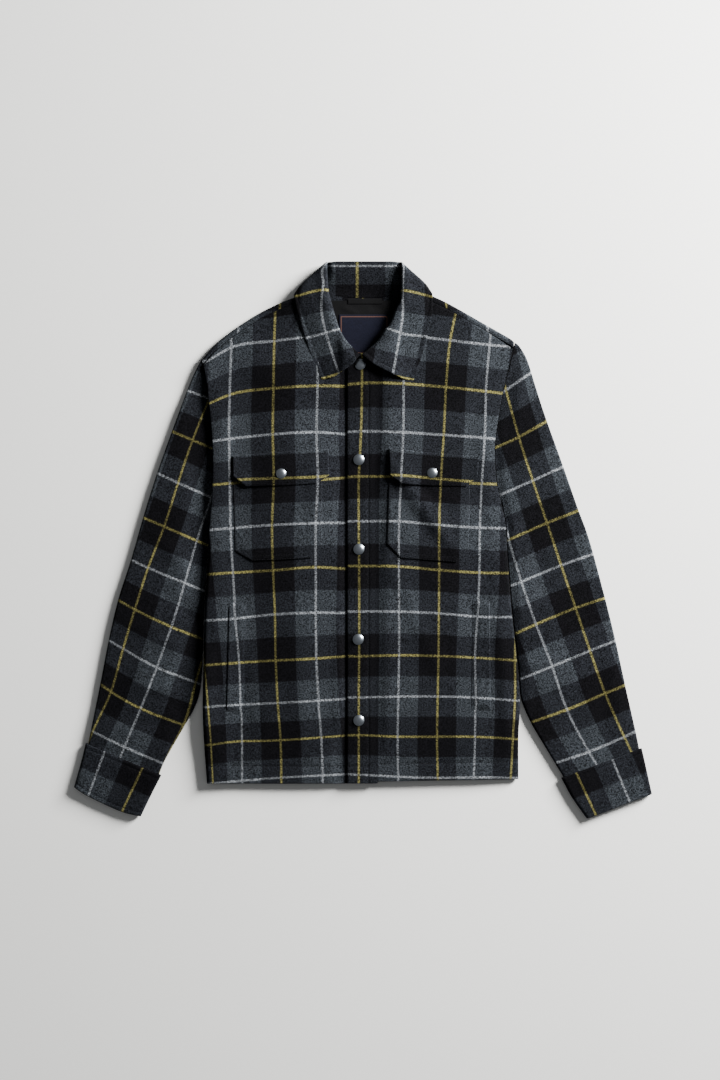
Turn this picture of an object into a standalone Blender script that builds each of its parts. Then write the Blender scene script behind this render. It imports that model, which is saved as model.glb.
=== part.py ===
"""A plaid wool overshirt laid flat on a surface, its front up and its snaps closed.

X runs across the chest, Y from hem to collar and Z up from the surface. The tables are in
millimetres and the meshes in metres. The wearer's right is at -X.
"""

import math

import bpy
import numpy as np

MM = 0.001

# Cloth walls, in millimetres
SHELL = 3.0  # lined wool of the body and the sleeves
CUFF = 3.8
FALL = 2.6
STAND = 2.4
PATCH = 2.0  # pockets, flaps and welts
FACING = 1.4
LINING = 1.0
LABEL = 0.6
TAPE = 0.8
SEAM = 0.3  # air between sewn pieces
LAY = 0.5  # air between a curved piece and what it lies on

# Air between the front and the back, in millimetres
AIR = 2.0
AIR_AT_SIDE = 1.8
AIR_UNDER_LAP = 0.8
AIR_AT_NECK = 1.0
AIR_IN_SLEEVE = 2.0
AIR_IN_CUFF = 1.4
SIDE_FOLD = 16.0  # how far in from the side the fold is fullest

# Edges, in millimetres
PLACKET_LEFT = -23.0
PLACKET_RIGHT = 21.5
UNDERLAP = (-22.0, 18.0)
SHOULDER_TURN = 9.0  # how far the back comes over the shoulder
SHOULDER_GAP = 1.0  # air at the forward shoulder seam, where both edges curve
NOSE = 4.8  # how far the fall turns down over the stand

SNAP = {"radius": 7.8, "height": 3.0}
FLAP_SNAP = {"radius": 7.2, "height": 2.8}

# Plan curves of the body, rows of x, y
SIDE_RIGHT = [(-222, -346), (-226, -290), (-228, -240), (-227, -179), (-226, -114), (-223, -58), (-219, 0)]
SIDE_LEFT = [(221, -340), (221, -281), (223, -229), (219, -173), (212, -109), (207, -50), (204, 0)]
ARMHOLE_RIGHT = [(-219, 0), (-217, 28), (-214, 71), (-213, 114), (-215, 156), (-219, 196), (-223, 230), (-229, 257)]
ARMHOLE_LEFT = [(204, 0), (202, 26), (195, 57), (189, 90), (187, 133), (192, 171), (199, 212), (208, 248), (215, 281)]
SHOULDER_RIGHT = [(-229, 257), (-210, 278), (-181, 301), (-141, 326), (-104, 342), (-82, 349), (-61, 355)]
SHOULDER_LEFT = [(215, 281), (208, 287), (173, 307), (129, 332), (104, 344), (85, 351), (65, 356)]
NECK_RIGHT = [(-61, 355), (-61, 327), (-55, 302), (-44, 283), (-30, 268), (-22, 265)]
NECK_LEFT = [(65, 356), (64, 327), (58, 302), (47, 283), (31, 268), (21.5, 265)]
NECK_BACK = [(-61, 355), (-47, 349), (-26, 345), (1, 344), (28, 345), (50, 349), (65, 356)]
HEM_RIGHT = [(-222, -346), (-22, -346)]
HEM_LEFT = [(221, -340), (110, -341.5), (21.5, -343)]
PLACKET_HEM = -345.5

# Plan curves of the collar, rows of x, y
FOLD_RIGHT = [(-51, 395), (-49, 356), (-44, 335), (-38, 314), (-32, 297), (-22, 281), (-9, 263)]
FOLD_LEFT = [(54, 395), (54, 361), (52, 340), (45, 325), (39, 309), (29, 296), (19, 281), (3, 263)]
LEAF_RIGHT = [(-98.5, 349), (-94, 325), (-85, 294), (-76, 267), (-66, 240), (-59, 227)]
LEAF_LEFT = [(98, 351), (99, 339), (98, 320), (91, 288), (82, 255), (72, 226)]
LEAF_FRONT_RIGHT = [(-9, 263), (-21, 251), (-40, 233), (-59, 227)]
LEAF_FRONT_LEFT = [(3, 263), (23, 250), (43, 238), (72, 226)]
TURN_RIGHT = [(-51, 395), (-58, 390), (-87, 364), (-98.5, 349)]
TURN_LEFT = [(54, 395), (61, 389), (87, 366), (98, 351)]
FALL_BACK_RIGHT = [(-98.5, 349), (-78, 334), (-45, 325), (1.5, 323)]
FALL_BACK_LEFT = [(98, 351), (79, 336), (45, 326), (1.5, 323)]
STAND_TOP_RIGHT = [(-56.5, 384), (-54, 356), (-48.5, 333), (-42.5, 312), (-38, 300)]
STAND_TOP_LEFT = [(59.8, 384), (58, 360), (56, 338), (49.5, 323), (43, 307)]
STAND_END = 0.7  # share of the neck's front edge that the stand follows

# Plan curves of the sleeves and the cuffs, rows of x, y
SLEEVE_OUT_RIGHT = [(-229.9, 257.3), (-245, 226), (-268, 165), (-291, 101), (-311, 38), (-330, -28), (-348, -84),
                    (-361, -139), (-374, -206), (-387, -270), (-391, -290)]
SLEEVE_IN_RIGHT = [(-220, 0), (-224.5, -28), (-227.5, -72), (-229.5, -114), (-231, -156), (-234, -200), (-246, -248),
                   (-287, -321), (-290, -333)]
SLEEVE_OUT_LEFT = [(216, 281), (223, 275), (234, 255), (246, 217), (260, 174), (283, 110), (305, 47), (322, 0),
                   (344, -81), (359, -142), (373, -206), (388, -273), (393, -297)]
SLEEVE_IN_LEFT = [(205, 0), (208.5, -28), (212, -67), (216.5, -108), (222, -142), (226.5, -197), (229, -223),
                  (241, -261), (271, -316), (285, -337)]
CUFF_OUT_RIGHT = [(-394.5, -288.9), (-400, -312), (-411, -351)]
CUFF_IN_RIGHT = [(-287, -334.7), (-301, -362), (-316, -393)]
CUFF_END_RIGHT = [(-411, -351), (-391, -364), (-346, -385), (-316, -393)]
CUFF_OUT_LEFT = [(396.5, -296.1), (402, -320), (411, -361)]
CUFF_IN_LEFT = [(282, -338.5), (297, -366), (318, -396)]
CUFF_END_LEFT = [(411, -361), (379, -373), (332, -391), (318, -396)]

# Flat pieces, rows of share of the width, top x, top y, bottom x, bottom y
POCKETS = {
    "right": [(0.0, -185, 100, -182, -16), (0.2, -160, 101, -157, -30), (0.5, -121, 102, -115, -28.5),
              (0.85, -77, 103, -74, -26), (1.0, -58, 104, -58, -10)],
    "left": [(0.0, 37, 107, 34, -6), (0.17, 57, 106, 54, -26), (0.5, 94, 105, 92, -29),
             (0.85, 134, 103, 132, -32), (1.0, 152, 102, 150, -10)],
}
FLAPS = {
    "right": [(0.0, -185, 119, -184, 90), (0.14, -166, 121, -166, 75.5), (0.5, -117, 125, -117, 76.5),
              (0.87, -66, 128, -66, 79.5), (1.0, -49, 129, -48, 92)],
    "left": [(0.0, 37, 130, 38, 92), (0.14, 55, 128, 55, 79), (0.5, 101, 123, 100, 76.5),
             (0.86, 147, 120, 146, 75.5), (1.0, 165, 119, 162, 89)],
}
WELTS = {
    "right": [(0.0, -190, -88, -194, -245), (1.0, -165, -89, -169, -245)],
    "left": [(0.0, 156, -84, 154, -241), (1.0, 180, -85, 181, -241)],
}
LABEL_SPAN = [(0.0, -34, 320, -34, 263), (1.0, 37, 320, 37, 263)]
LINING_SPAN = [(0.0, -49, 340, -52, 250), (0.5, 1, 340, 1, 250), (1.0, 52, 340, 54, 250)]
LOOP_SPAN = [(0.0, -21, 343, -21, 335), (1.0, 27, 343, 27, 335)]
FRONT_SNAPS = [(-4, 249), (-6, 114), (-6, -13), (-7, -141), (-6, -256)]
FLAP_SNAPS = {"right": (-116, 94), "left": (98, 95)}

FOLD_STEPS = (0.0, 0.8, 2.6, 5.5)  # grid steps in from a folded edge, in millimetres

WOOL = (0.062, 0.066, 0.074)
BLACK = (0.012, 0.012, 0.013)
NAVY = (0.02, 0.022, 0.045)
METAL = (0.55, 0.57, 0.6)


# Curves and grids

def smoothstep(value):
    value = np.clip(value, 0, 1)
    return value * value * (3 - 2 * value)


def path(table, shares):
    """Points at these shares of the length of a smooth curve through the table's points."""
    table = np.array(table, float)
    if len(table) > 2:
        ends = np.vstack([2 * table[0] - table[1], table, 2 * table[-1] - table[-2]])
        step = np.linspace(0, 1, 12, endpoint=False)[:, None]
        runs = []
        for a, b, c, d in zip(ends[:-3], ends[1:-2], ends[2:-1], ends[3:]):
            runs.append(b + 0.5 * step * (c - a + step * (2 * a - 5 * b + 4 * c - d + step * (3 * (b - c) + d - a))))
        table = np.vstack(runs + [table[-1:]])
    along = np.concatenate([[0], np.cumsum(np.linalg.norm(np.diff(table, axis=0), axis=1))])
    wanted = np.asarray(shares) * along[-1]
    return np.stack([np.interp(wanted, along, table[:, k]) for k in (0, 1)], axis=1)


def length(table):
    return np.linalg.norm(np.diff(path(table, np.linspace(0, 1, 60)), axis=0), axis=1).sum()


def spread(total, start, end, count):
    """Shares of a length, at these distances from its start and its end and even between them."""
    first = np.array(start) / total
    last = 1 - np.array(end)[::-1] / total
    between = np.linspace(first[-1], last[0], count + 2)[1:-1]
    return np.concatenate([first, between, last])


def even(count):
    return np.linspace(0, 1, count + 1)


def joined(*runs):
    """Runs of points end to end, each shared end kept once."""
    return np.vstack([runs[0]] + [run[1:] for run in runs[1:]])


def patch(left, right, bottom, top, across, up):
    """Plan grid between four edges; across and up are the shares of each column and row."""
    u, v = np.asarray(across)[None, :, None], np.asarray(up)[:, None, None]
    sides = (1 - u) * left[:, None] + u * right[:, None]
    ends = (1 - v) * bottom[None] + v * top[None]
    corners = (1 - u) * ((1 - v) * left[0] + v * left[-1]) + u * ((1 - v) * right[0] + v * right[-1])
    return sides + ends - corners


def from_start(grid, axis):
    """Distance of each grid point along its row (axis 1) or its column (axis 0)."""
    steps = np.linalg.norm(np.diff(grid, axis=axis), axis=2)
    return np.concatenate([np.zeros_like(np.take(steps, [0], axis=axis)), np.cumsum(steps, axis=axis)], axis=axis)


def from_end(grid, axis):
    return np.flip(from_start(np.flip(grid, axis), axis), axis)


def turned(distance, radius):
    """Share of a fold's half height at a distance in from the fold: a quarter circle, then 1."""
    inside = np.clip(1 - distance / radius, 0, 1)
    return np.sqrt(1 - inside * inside)


def lifted(plan, height):
    return np.dstack([plan, height])


# Heights of the layers over the surface, in millimetres

def near_neck(x, y):
    return 1 - smoothstep((np.hypot((x - 1) / 105, (y - 330) / 112) - 1) / 0.4)


def under_back(x, y):
    """Underside of the back: flat, and lifted at the neck by the fall that is folded under it."""
    fall_edge = 323 + 24 * (x / 97) ** 2
    return (FALL + LAY) * smoothstep((y - fall_edge + 68) / 60) * (1 - smoothstep((np.abs(x) - 104) / 36))


def side_distance(x, y):
    right = SIDE_RIGHT + ARMHOLE_RIGHT[1:]
    left = SIDE_LEFT + ARMHOLE_LEFT[1:]
    from_right = x - np.interp(y, [row[1] for row in right], [row[0] for row in right])
    from_left = np.interp(y, [row[1] for row in left], [row[0] for row in left]) - x
    return np.minimum(from_right, from_left)


def over_panel(x, y):
    """Outer face of the fronts away from the placket."""
    side = np.exp(-(((side_distance(x, y) - SIDE_FOLD) / SIDE_FOLD) ** 2))
    below_shoulder = 1 - smoothstep((y - 150) / 100)
    above_hem = smoothstep((y + 350) / 40)
    air = AIR + AIR_AT_SIDE * side * below_shoulder * above_hem + AIR_AT_NECK * near_neck(x, y)
    return under_back(x, y) + 2 * SHELL + air


def over_underlap(x, y):
    return under_back(x, y) + 2 * SHELL + AIR_UNDER_LAP + (AIR + AIR_AT_NECK - AIR_UNDER_LAP) * near_neck(x, y)


def over_front_right(x, y):
    lap = smoothstep((x - PLACKET_LEFT + 24) / 20)
    return (1 - lap) * over_panel(x, y) + lap * over_underlap(x, y)


def over_front_left(x, y):
    placket = over_underlap(x, y) + LAY + FACING + LAY + SHELL
    off = smoothstep((x - PLACKET_RIGHT) / 14)
    return (1 - off) * placket + off * over_panel(x, y)


def over_fronts(x, y):
    """Top of the fronts under the collar, which spans the steps at both edges of the placket."""
    lap = smoothstep((x - PLACKET_LEFT + 16) / 13) * (1 - smoothstep((x - PLACKET_RIGHT - 16) / 26))
    placket = over_underlap(x, y) + LAY + FACING + LAY + SHELL
    return lap * placket + (1 - lap) * over_panel(x, y)


# Solids

def make_object(name, points, faces, colour, roughness, metallic=0.0):
    mesh = bpy.data.meshes.new(name)
    mesh.from_pydata((np.asarray(points) * MM).tolist(), [], faces)
    mesh.update()
    mesh.shade_smooth()
    mesh.set_sharp_from_angle(angle=math.radians(50))
    obj = bpy.data.objects.new(name, mesh)
    bpy.context.scene.collection.objects.link(obj)
    material = bpy.data.materials.new(name)
    material.use_nodes = True
    shader = material.node_tree.nodes["Principled BSDF"]
    shader.inputs["Base Color"].default_value = (*colour, 1)
    shader.inputs["Roughness"].default_value = roughness
    shader.inputs["Metallic"].default_value = metallic
    mesh.materials.append(material)
    return obj


def cells_of(grid, closed):
    """Corners of each whole cell of a grid, as point numbers; a closed grid joins its last column to its first."""
    rows, columns = grid.shape[:2]
    number = np.arange(rows * columns).reshape(rows, columns)
    if closed:
        number = np.hstack([number, number[:, :1]])
    cells = np.stack([number[:-1, :-1], number[:-1, 1:], number[1:, 1:], number[1:, :-1]], axis=2).reshape(-1, 4)
    whole = np.isfinite(grid.reshape(-1, 3)[cells]).all(axis=(1, 2))
    return cells[whole]


def normals_of(points, cells):
    """Mean of the unit normals of the cells round each point."""
    corner = points[cells]
    facing = np.cross(corner[:, 2] - corner[:, 0], corner[:, 3] - corner[:, 1])
    facing /= np.linalg.norm(facing, axis=1, keepdims=True)
    total = np.zeros_like(points)
    for k in range(4):
        np.add.at(total, cells[:, k], facing)
    size = np.linalg.norm(total, axis=1, keepdims=True)
    return total / np.where(size > 0, size, 1)


def cloth(name, grid, wall, colour, closed=False, upright=False, level=None, seams=None, roughness=0.9):
    """A wall of cloth with the grid as its outer face.

    upright measures the wall straight down. level is 1 at points on a fold's own line, where the wall is level.
    seams holds, at points on a cut edge, the level direction across it, which the wall doesn't lean along.
    """
    cells = cells_of(grid, closed)
    points = grid.reshape(-1, 3)
    inward = np.array([0.0, 0.0, 1.0]) if upright else normals_of(np.nan_to_num(points), cells)
    if level is not None:
        inward[:, 2] *= 1 - level.reshape(-1)
    if seams is not None:
        across = seams.reshape(-1, 2)
        inward[:, :2] -= across * (inward[:, :2] * across).sum(axis=1, keepdims=True)
    if not upright:
        inward /= np.maximum(np.linalg.norm(inward, axis=1, keepdims=True), 1e-9)
    both = np.concatenate([points, points - inward * wall])
    count = len(points)
    edges = {(cell[k], cell[(k + 1) % 4]) for cell in cells.tolist() for k in range(4)}
    faces = cells.tolist() + [[count + corner for corner in reversed(cell)] for cell in cells.tolist()]
    faces += [[b, a, count + a, count + b] for a, b in sorted(edges) if (b, a) not in edges]
    used = sorted({corner for face in faces for corner in face})
    place = {old: new for new, old in enumerate(used)}
    return make_object(name, both[used], [[place[c] for c in face] for face in faces], colour, roughness)


def across_line(points):
    """Level unit directions across a plan line."""
    along = np.gradient(points, axis=0)
    across = np.nan_to_num(np.stack([-along[:, 1], along[:, 0]], axis=1))
    return across / np.maximum(np.linalg.norm(across, axis=1, keepdims=True), 1e-9)


def flat_piece(name, table, columns, rows, height, wall, colour=WOOL):
    """A piece that lies on others: height is its top face over the surface at x, y."""
    table = np.array(table, float)
    top = np.stack([np.interp(columns, table[:, 0], table[:, k]) for k in (1, 2)], axis=1)
    bottom = np.stack([np.interp(columns, table[:, 0], table[:, k]) for k in (3, 4)], axis=1)
    share = even(rows)[:, None, None]
    plan = (1 - share) * bottom[None] + share * top[None]
    return cloth(name, lifted(plan, height(plan[..., 0], plan[..., 1])), wall, colour, upright=True)


# Body

SIDE_ROWS = 10
ARM_ROWS = 7
NECK_ROWS = 6
ARM_SPLIT = 0.58  # share of the armhole that faces the placket


def arm_runs(side, armhole, end):
    """Points up the side and the armhole, the last ones up to this share of the armhole."""
    return joined(path(side, even(SIDE_ROWS)), path(armhole, ARM_SPLIT * even(ARM_ROWS)),
                  path(armhole, np.linspace(ARM_SPLIT, end, NECK_ROWS + 1)))


def beside_shoulder(armhole, shoulder, neck, across, distance):
    """A line beside the shoulder fold, this far down the armhole and down the neck."""
    line = path(shoulder, across)
    slide = np.asarray(across)[:, None]
    arm = path(armhole, [1, 1 - distance / length(armhole)])
    collar = path(neck, [0, distance / length(neck)])
    return line + (1 - slide) * (arm[1] - arm[0]) + slide * (collar[1] - collar[0])


def front_plan(side, armhole, shoulder, neck, hem):
    """Plan of a front between side, shoulder seam, neck and placket line, from side to centre."""
    turn = SHOULDER_TURN / length(armhole)
    outer = arm_runs(side, armhole, 1 - turn)
    corner = hem[-1][0], neck[-1][1]
    middle = corner[0], side[-1][1]
    neck_end = 1 - SHOULDER_TURN / length(neck)
    inner = joined(path([hem[-1], middle], even(SIDE_ROWS)), path([middle, corner], even(ARM_ROWS)),
                   path(neck[::-1], neck_end * even(NECK_ROWS)))
    across = spread(length(hem), FOLD_STEPS, (0.0, 4.7, 9.3, 14.0), 8)
    top = beside_shoulder(armhole, shoulder, neck, across, SHOULDER_TURN)
    up = from_start(outer[:, None], 0)[:, 0] / np.linalg.norm(np.diff(outer, axis=0), axis=1).sum()
    return patch(outer, inner, path(hem, across), top, across, up)


def with_strip(plan, columns, hem_y):
    """The plan with straight columns at these x added past its placket line, up to the neck."""
    rows = SIDE_ROWS + ARM_ROWS + 1
    strip = np.full((plan.shape[0], len(columns), 2), np.nan)
    strip[:rows, :, 0] = columns
    strip[:rows, :, 1] = plan[:rows, -1:, 1]
    strip[0, :, 1] = hem_y
    return np.concatenate([plan, strip], axis=1)


def side_folded(y):
    """1 below the armholes, where front and back meet in a fold, and 0 beside them."""
    return smoothstep((8 - y) / 26)


def front_height(plan, over, columns):
    """Outer face of a front: turned down to half height at the side fold, and dipped at the armhole."""
    x, y = plan[..., 0], plan[..., 1]
    top = over(x, y)
    middle = (top + under_back(x, y)) / 2 + SEAM / 2
    across = np.full(x.shape, 99.0)
    across[:, :columns] = from_start(plan[:, :columns], 1)
    fold = middle + (top - middle) * turned(across, 5.0)
    armhole = top - 0.9 * (1 - turned(across, 6.0))
    return side_folded(y) * fold + (1 - side_folded(y)) * armhole


def body_seams(plan, ends):
    """Directions across the hem, the last row and the armholes of a body panel."""
    seams = np.zeros(plan.shape)
    for row in (0, -1):
        seams[row] = across_line(plan[row])
    for column in ends:
        beside_arm = 1 - side_folded(plan[:, column, 1])[:, None]
        seams[1:-1, column] = (beside_arm * across_line(plan[:, column]))[1:-1]
    return seams


def fold_line(plan, ends):
    """How level the wall is at each point: 1 on the side folds, which are the columns at these ends."""
    level = np.zeros(plan.shape[:2])
    for column in ends:
        level[:, column] = side_folded(plan[:, column, 1])
    return level


def make_fronts():
    plan = front_plan(SIDE_RIGHT, ARMHOLE_RIGHT, SHOULDER_RIGHT, NECK_RIGHT, HEM_RIGHT)
    columns = plan.shape[1]
    plan = with_strip(plan, np.linspace(*UNDERLAP, 5)[1:], HEM_RIGHT[0][1])
    grid = lifted(plan, front_height(plan, over_front_right, columns))
    cloth("front_right", grid, SHELL, WOOL, level=fold_line(plan, (0,)), seams=body_seams(plan, (0,)))
    plan = front_plan(SIDE_LEFT, ARMHOLE_LEFT, SHOULDER_LEFT, NECK_LEFT, HEM_LEFT)
    columns = plan.shape[1]
    plan = with_strip(plan, np.array([20.0, 8.0, -8.0, -21.0, PLACKET_LEFT]), PLACKET_HEM)
    grid = lifted(plan, front_height(plan, over_front_left, columns))
    cloth("front_left", grid[:, ::-1], SHELL, WOOL, level=fold_line(plan, (0,))[:, ::-1],
          seams=body_seams(plan, (0,))[:, ::-1])

    span = [(0.0, PLACKET_LEFT + 1.5, 258, PLACKET_LEFT + 1.5, PLACKET_HEM),
            (1.0, PLACKET_RIGHT - 1, 258, PLACKET_RIGHT - 1, PLACKET_HEM)]
    flat_piece("placket_facing", span, even(2), 20, lambda x, y: over_underlap(x, y) + LAY + FACING, FACING)


def make_back():
    """The back: flat underneath, turned up at the sides and over the shoulders to the front seams."""
    steps = np.array((6.0, 3.4, 1.6, 0.5, 0.0))
    first = 13.0
    right = arm_runs(SIDE_RIGHT, ARMHOLE_RIGHT, 1 - first / length(ARMHOLE_RIGHT))
    left = arm_runs(SIDE_LEFT, ARMHOLE_LEFT, 1 - first / length(ARMHOLE_LEFT))
    shoulder = spread(length(SHOULDER_RIGHT), FOLD_STEPS, (0.0,), 6)

    def beside_top(distance):
        """A line this far inside the shoulder folds and the back neck."""
        return joined(beside_shoulder(ARMHOLE_RIGHT, SHOULDER_RIGHT, NECK_RIGHT, shoulder, distance),
                      path(NECK_BACK, even(6)) - (0, distance),
                      beside_shoulder(ARMHOLE_LEFT, SHOULDER_LEFT, NECK_LEFT, shoulder, distance)[::-1])

    top = beside_top(first)
    across = from_start(top[None], 1)[0]
    across /= across[-1]
    bottom = path([SIDE_RIGHT[0], (1, -344), SIDE_LEFT[0]], across)
    up = from_start(right[:, None], 0)[:, 0]
    plan = patch(right, left, bottom, top, across, up / up[-1])

    turn = np.concatenate([steps, steps[-2:0:-1], [SHOULDER_TURN - SHOULDER_GAP]])
    fold_row = plan.shape[0] + len(steps) - 1
    first_turn = plan.shape[0]
    plan = np.concatenate([plan, [beside_top(distance) for distance in turn]])
    neck = slice(len(shoulder), len(shoulder) + 5)
    x, y = plan[..., 0], plan[..., 1]
    low, high = under_back(x, y), over_panel(x, y)
    side = turned(np.minimum(from_start(plan, 1), from_end(plan, 1)), 5.0)
    height = low + side_folded(y) * ((high - low) / 2 - SEAM / 2) * (1 - side)
    for row, distance in enumerate(turn, first_turn):
        sign = 1 if row > fold_row else -1
        folded = (high[row] + low[row]) / 2 + sign * (high[row] - low[row]) / 2 * turned(distance, 5.0)
        folded[neck] = low[row, neck]
        height[row] = folded
    level, seams = fold_line(plan, (0, -1)), body_seams(plan, (0, -1))
    plan[fold_row + 1:, neck] = np.nan
    cloth("back", lifted(plan, height)[:, ::-1], SHELL, WOOL, level=level[:, ::-1], seams=seams[:, ::-1])


# Sleeves and cuffs

def tube(name, plan, top, wall, radius):
    """A flattened tube from its plan, rows along it and columns from its outer to its inner edge."""
    edge = np.minimum(from_start(plan, 1), from_end(plan, 1))
    half = top / 2
    upper = lifted(plan, half + half * turned(edge, radius))
    lower = lifted(plan, half - half * turned(edge, radius))
    ends = np.zeros(plan.shape)
    for row in (0, -1):
        ends[row] = across_line(plan[row])
    grid = np.concatenate([upper, lower[:, -2:0:-1]], axis=1)
    seams = np.concatenate([ends, ends[:, -2:0:-1]], axis=1)
    if not name.endswith("_left"):
        grid, seams = grid[:, ::-1], seams[:, ::-1]
    cloth(name, grid, wall, WOOL, closed=True, seams=seams)


def make_sleeve(side, outer, inner, armhole, clear):
    across = spread(240, FOLD_STEPS, FOLD_STEPS, 7)
    up = even(17)
    head = path(armhole[::-1], across) + np.array([clear, 0.0])
    head[0], head[-1] = outer[0], inner[0]
    end = path([outer[-1], inner[-1]], across)
    plan = patch(path(outer, up), path(inner, up), head, end, across, up)
    along = up[:, None]
    air = AIR_IN_SLEEVE - 1.0 * (1 - smoothstep(along / 0.12)) - 0.5 * smoothstep((along - 0.9) / 0.1)
    tube("sleeve_" + side, plan, 2 * SHELL + air + 0 * plan[..., 0], SHELL, 4.2)


def make_cuff(side, outer, inner, end):
    across = spread(110, FOLD_STEPS, FOLD_STEPS, 4)
    up = even(3)
    plan = patch(path(outer, up), path(inner, up), path([outer[0], inner[0]], across), path(end, across), across, up)
    tube("cuff_" + side, plan, np.full(plan.shape[:2], 2 * CUFF + AIR_IN_CUFF), CUFF, 4.7)


# Collar

def collar_plan(quarters, across_front, across_back, up):
    """Plans of the right front, right back, left back and left front of a band round the neck."""
    plans = []
    for front, back, turn, end, centre in quarters:
        plans.append(patch(path(turn, up), path(end, up), path(front[0], across_front), path(front[1], across_front),
                           across_front, up))
        plans.append(patch(path(turn, up), path(centre, up), path(back[0], across_back), path(back[1], across_back),
                           across_back, up))
    return plans


def band(name, quarters, fold_steps, radius, top_of, low, drop_at, wall, reach):
    """A band round the flattened neck: over the fronts, round the two sides and under the back."""
    depth = length(quarters[0][2])
    up = spread(depth, fold_steps, (0.0,), 3) if len(fold_steps) > 1 else even(3)
    across_front = spread(reach, FOLD_STEPS, (0.0,), 5)
    across_back = spread(reach * 0.7, FOLD_STEPS, (0.0,), 3)
    plans = collar_plan(quarters, across_front, across_back, up)
    sheets = []
    for number, plan in enumerate(plans):
        x, y = plan[..., 0], plan[..., 1]
        top = top_of(x, y)
        drop = drop_at(from_start(plan, 0), y)
        middle = (top + low) / 2
        half = ((top - low) / 2 - drop) * turned(from_start(plan, 1), radius)
        sheets.append(lifted(plan, middle + half if number % 2 == 0 else middle - half))
    right_front, right_back, left_front, left_back = sheets
    grid = np.concatenate([right_front[:, ::-1], right_back[:, 1:], left_back[:, -2::-1], left_front[:, 1:]], axis=1)
    level = np.zeros(grid.shape[:2])
    level[0] = len(fold_steps) > 1
    cloth(name, grid, wall, WOOL, level=level)


def fall_drop(distance, y):
    """How far the fall turns down at its fold, which has a stand under it down to the front neck."""
    return NOSE * (1 - turned(distance, 3.2)) * smoothstep((y - 266) / 18)


def make_collar():
    back_fold_right = [FOLD_RIGHT[0], (1.5, 395)]
    back_fold_left = [FOLD_LEFT[0], (1.5, 395)]
    centre = [(1.5, 395), (1.5, 323)]
    fall = [((FOLD_RIGHT, LEAF_RIGHT), (back_fold_right, FALL_BACK_RIGHT), TURN_RIGHT, LEAF_FRONT_RIGHT, centre),
            ((FOLD_LEFT, LEAF_LEFT), (back_fold_left, FALL_BACK_LEFT), TURN_LEFT, LEAF_FRONT_LEFT, centre)]
    band("collar_fall", fall, (0.0, 0.5, 1.6, 3.2, 5.5), 6.5,
         lambda x, y: over_fronts(x, y) + LAY + FALL, 0.0, fall_drop, FALL, 150)

    centre = [(1.5, 388.5), (1.5, 344.5)]
    stand = []
    for top, neck, inward, back_seam in (
            (STAND_TOP_RIGHT, NECK_RIGHT, 0.9, [(-59.8, 356.4), (-47, 349.6), (-26, 345.6), centre[1]]),
            (STAND_TOP_LEFT, NECK_LEFT, -0.9, [(63.8, 357.4), (50, 349.6), (28, 345.6), centre[1]])):
        seam = path(neck, STAND_END * even(8)) + (inward, 0.3)
        seam[0] = back_seam[0]
        stand.append(((top, seam), ([top[0], centre[0]], back_seam), [top[0], back_seam[0]],
                      [top[-1], tuple(seam[-1])], centre))
    band("collar_stand", stand, (0.0,), 4.8, over_panel, FALL + LAY + SEAM, lambda d, y: 0.0 * d, STAND, 110)


# Pockets, neck and snaps

def make_pockets():
    for side, over in (("right", over_front_right), ("left", over_front_left)):
        on_panel = lambda x, y, over=over: over(x, y) + LAY + PATCH
        columns = np.sort(np.concatenate([[row[0] for row in POCKETS[side]], [0.35, 0.68]]))
        flat_piece("chest_pocket_" + side, POCKETS[side], columns, 8, on_panel, PATCH)
        columns = np.sort(np.concatenate([[row[0] for row in FLAPS[side]], [0.32, 0.68]]))
        flat_piece("pocket_flap_" + side, FLAPS[side], columns, 4,
                   lambda x, y, on=on_panel: on(x, y) + LAY + PATCH, PATCH)
        flat_piece("hand_pocket_welt_" + side, WELTS[side], even(3), 10, on_panel, PATCH)


def make_neck():
    on_back = lambda x, y: under_back(x, y) + SHELL + LAY + LINING
    flat_piece("neck_lining", LINING_SPAN, even(6), 8, on_back, LINING, BLACK)
    flat_piece("neck_label", LABEL_SPAN, even(4), 6, lambda x, y: on_back(x, y) + SEAM + LABEL, LABEL, NAVY)
    flat_piece("hanger_loop", LOOP_SPAN, even(4), 1, lambda x, y: on_back(x, y) + LAY + TAPE, TAPE, BLACK)


def make_snap(name, centre, under, radius, height):
    """A domed cap on a short rim, turned round its middle."""
    profile = [(0.94, 0.0), (1.0, 0.16), (0.97, 0.36), (0.84, 0.66), (0.58, 0.89), (0.28, 0.985)]
    sides = 14
    points = [(radius * r * math.cos(turn), radius * r * math.sin(turn), height * h)
              for r, h in profile for turn in (2 * math.pi * k / sides for k in range(sides))]
    faces = [list(range(sides))[::-1]]
    for ring in range(len(profile) - 1):
        for k in range(sides):
            a, b = ring * sides + k, ring * sides + (k + 1) % sides
            faces.append([a, b, b + sides, a + sides])
    last = (len(profile) - 1) * sides
    points.append((0.0, 0.0, height))
    faces += [[last + k, last + (k + 1) % sides, len(points) - 1] for k in range(sides)]
    obj = make_object(name, points, faces, METAL, 0.3, 1.0)
    obj.location = (centre[0] * MM, centre[1] * MM, under * MM)


def make_snaps():
    for number, (x, y) in enumerate(FRONT_SNAPS, 1):
        make_snap(f"snap_front_{number}", (x, y), float(over_front_left(x, y)) + SEAM, SNAP["radius"], SNAP["height"])
    for side, over in (("right", over_front_right), ("left", over_front_left)):
        x, y = FLAP_SNAPS[side]
        under = float(over(x, y)) + 2 * (LAY + PATCH) + SEAM
        make_snap("snap_flap_" + side, (x, y), under, FLAP_SNAP["radius"], FLAP_SNAP["height"])


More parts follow.
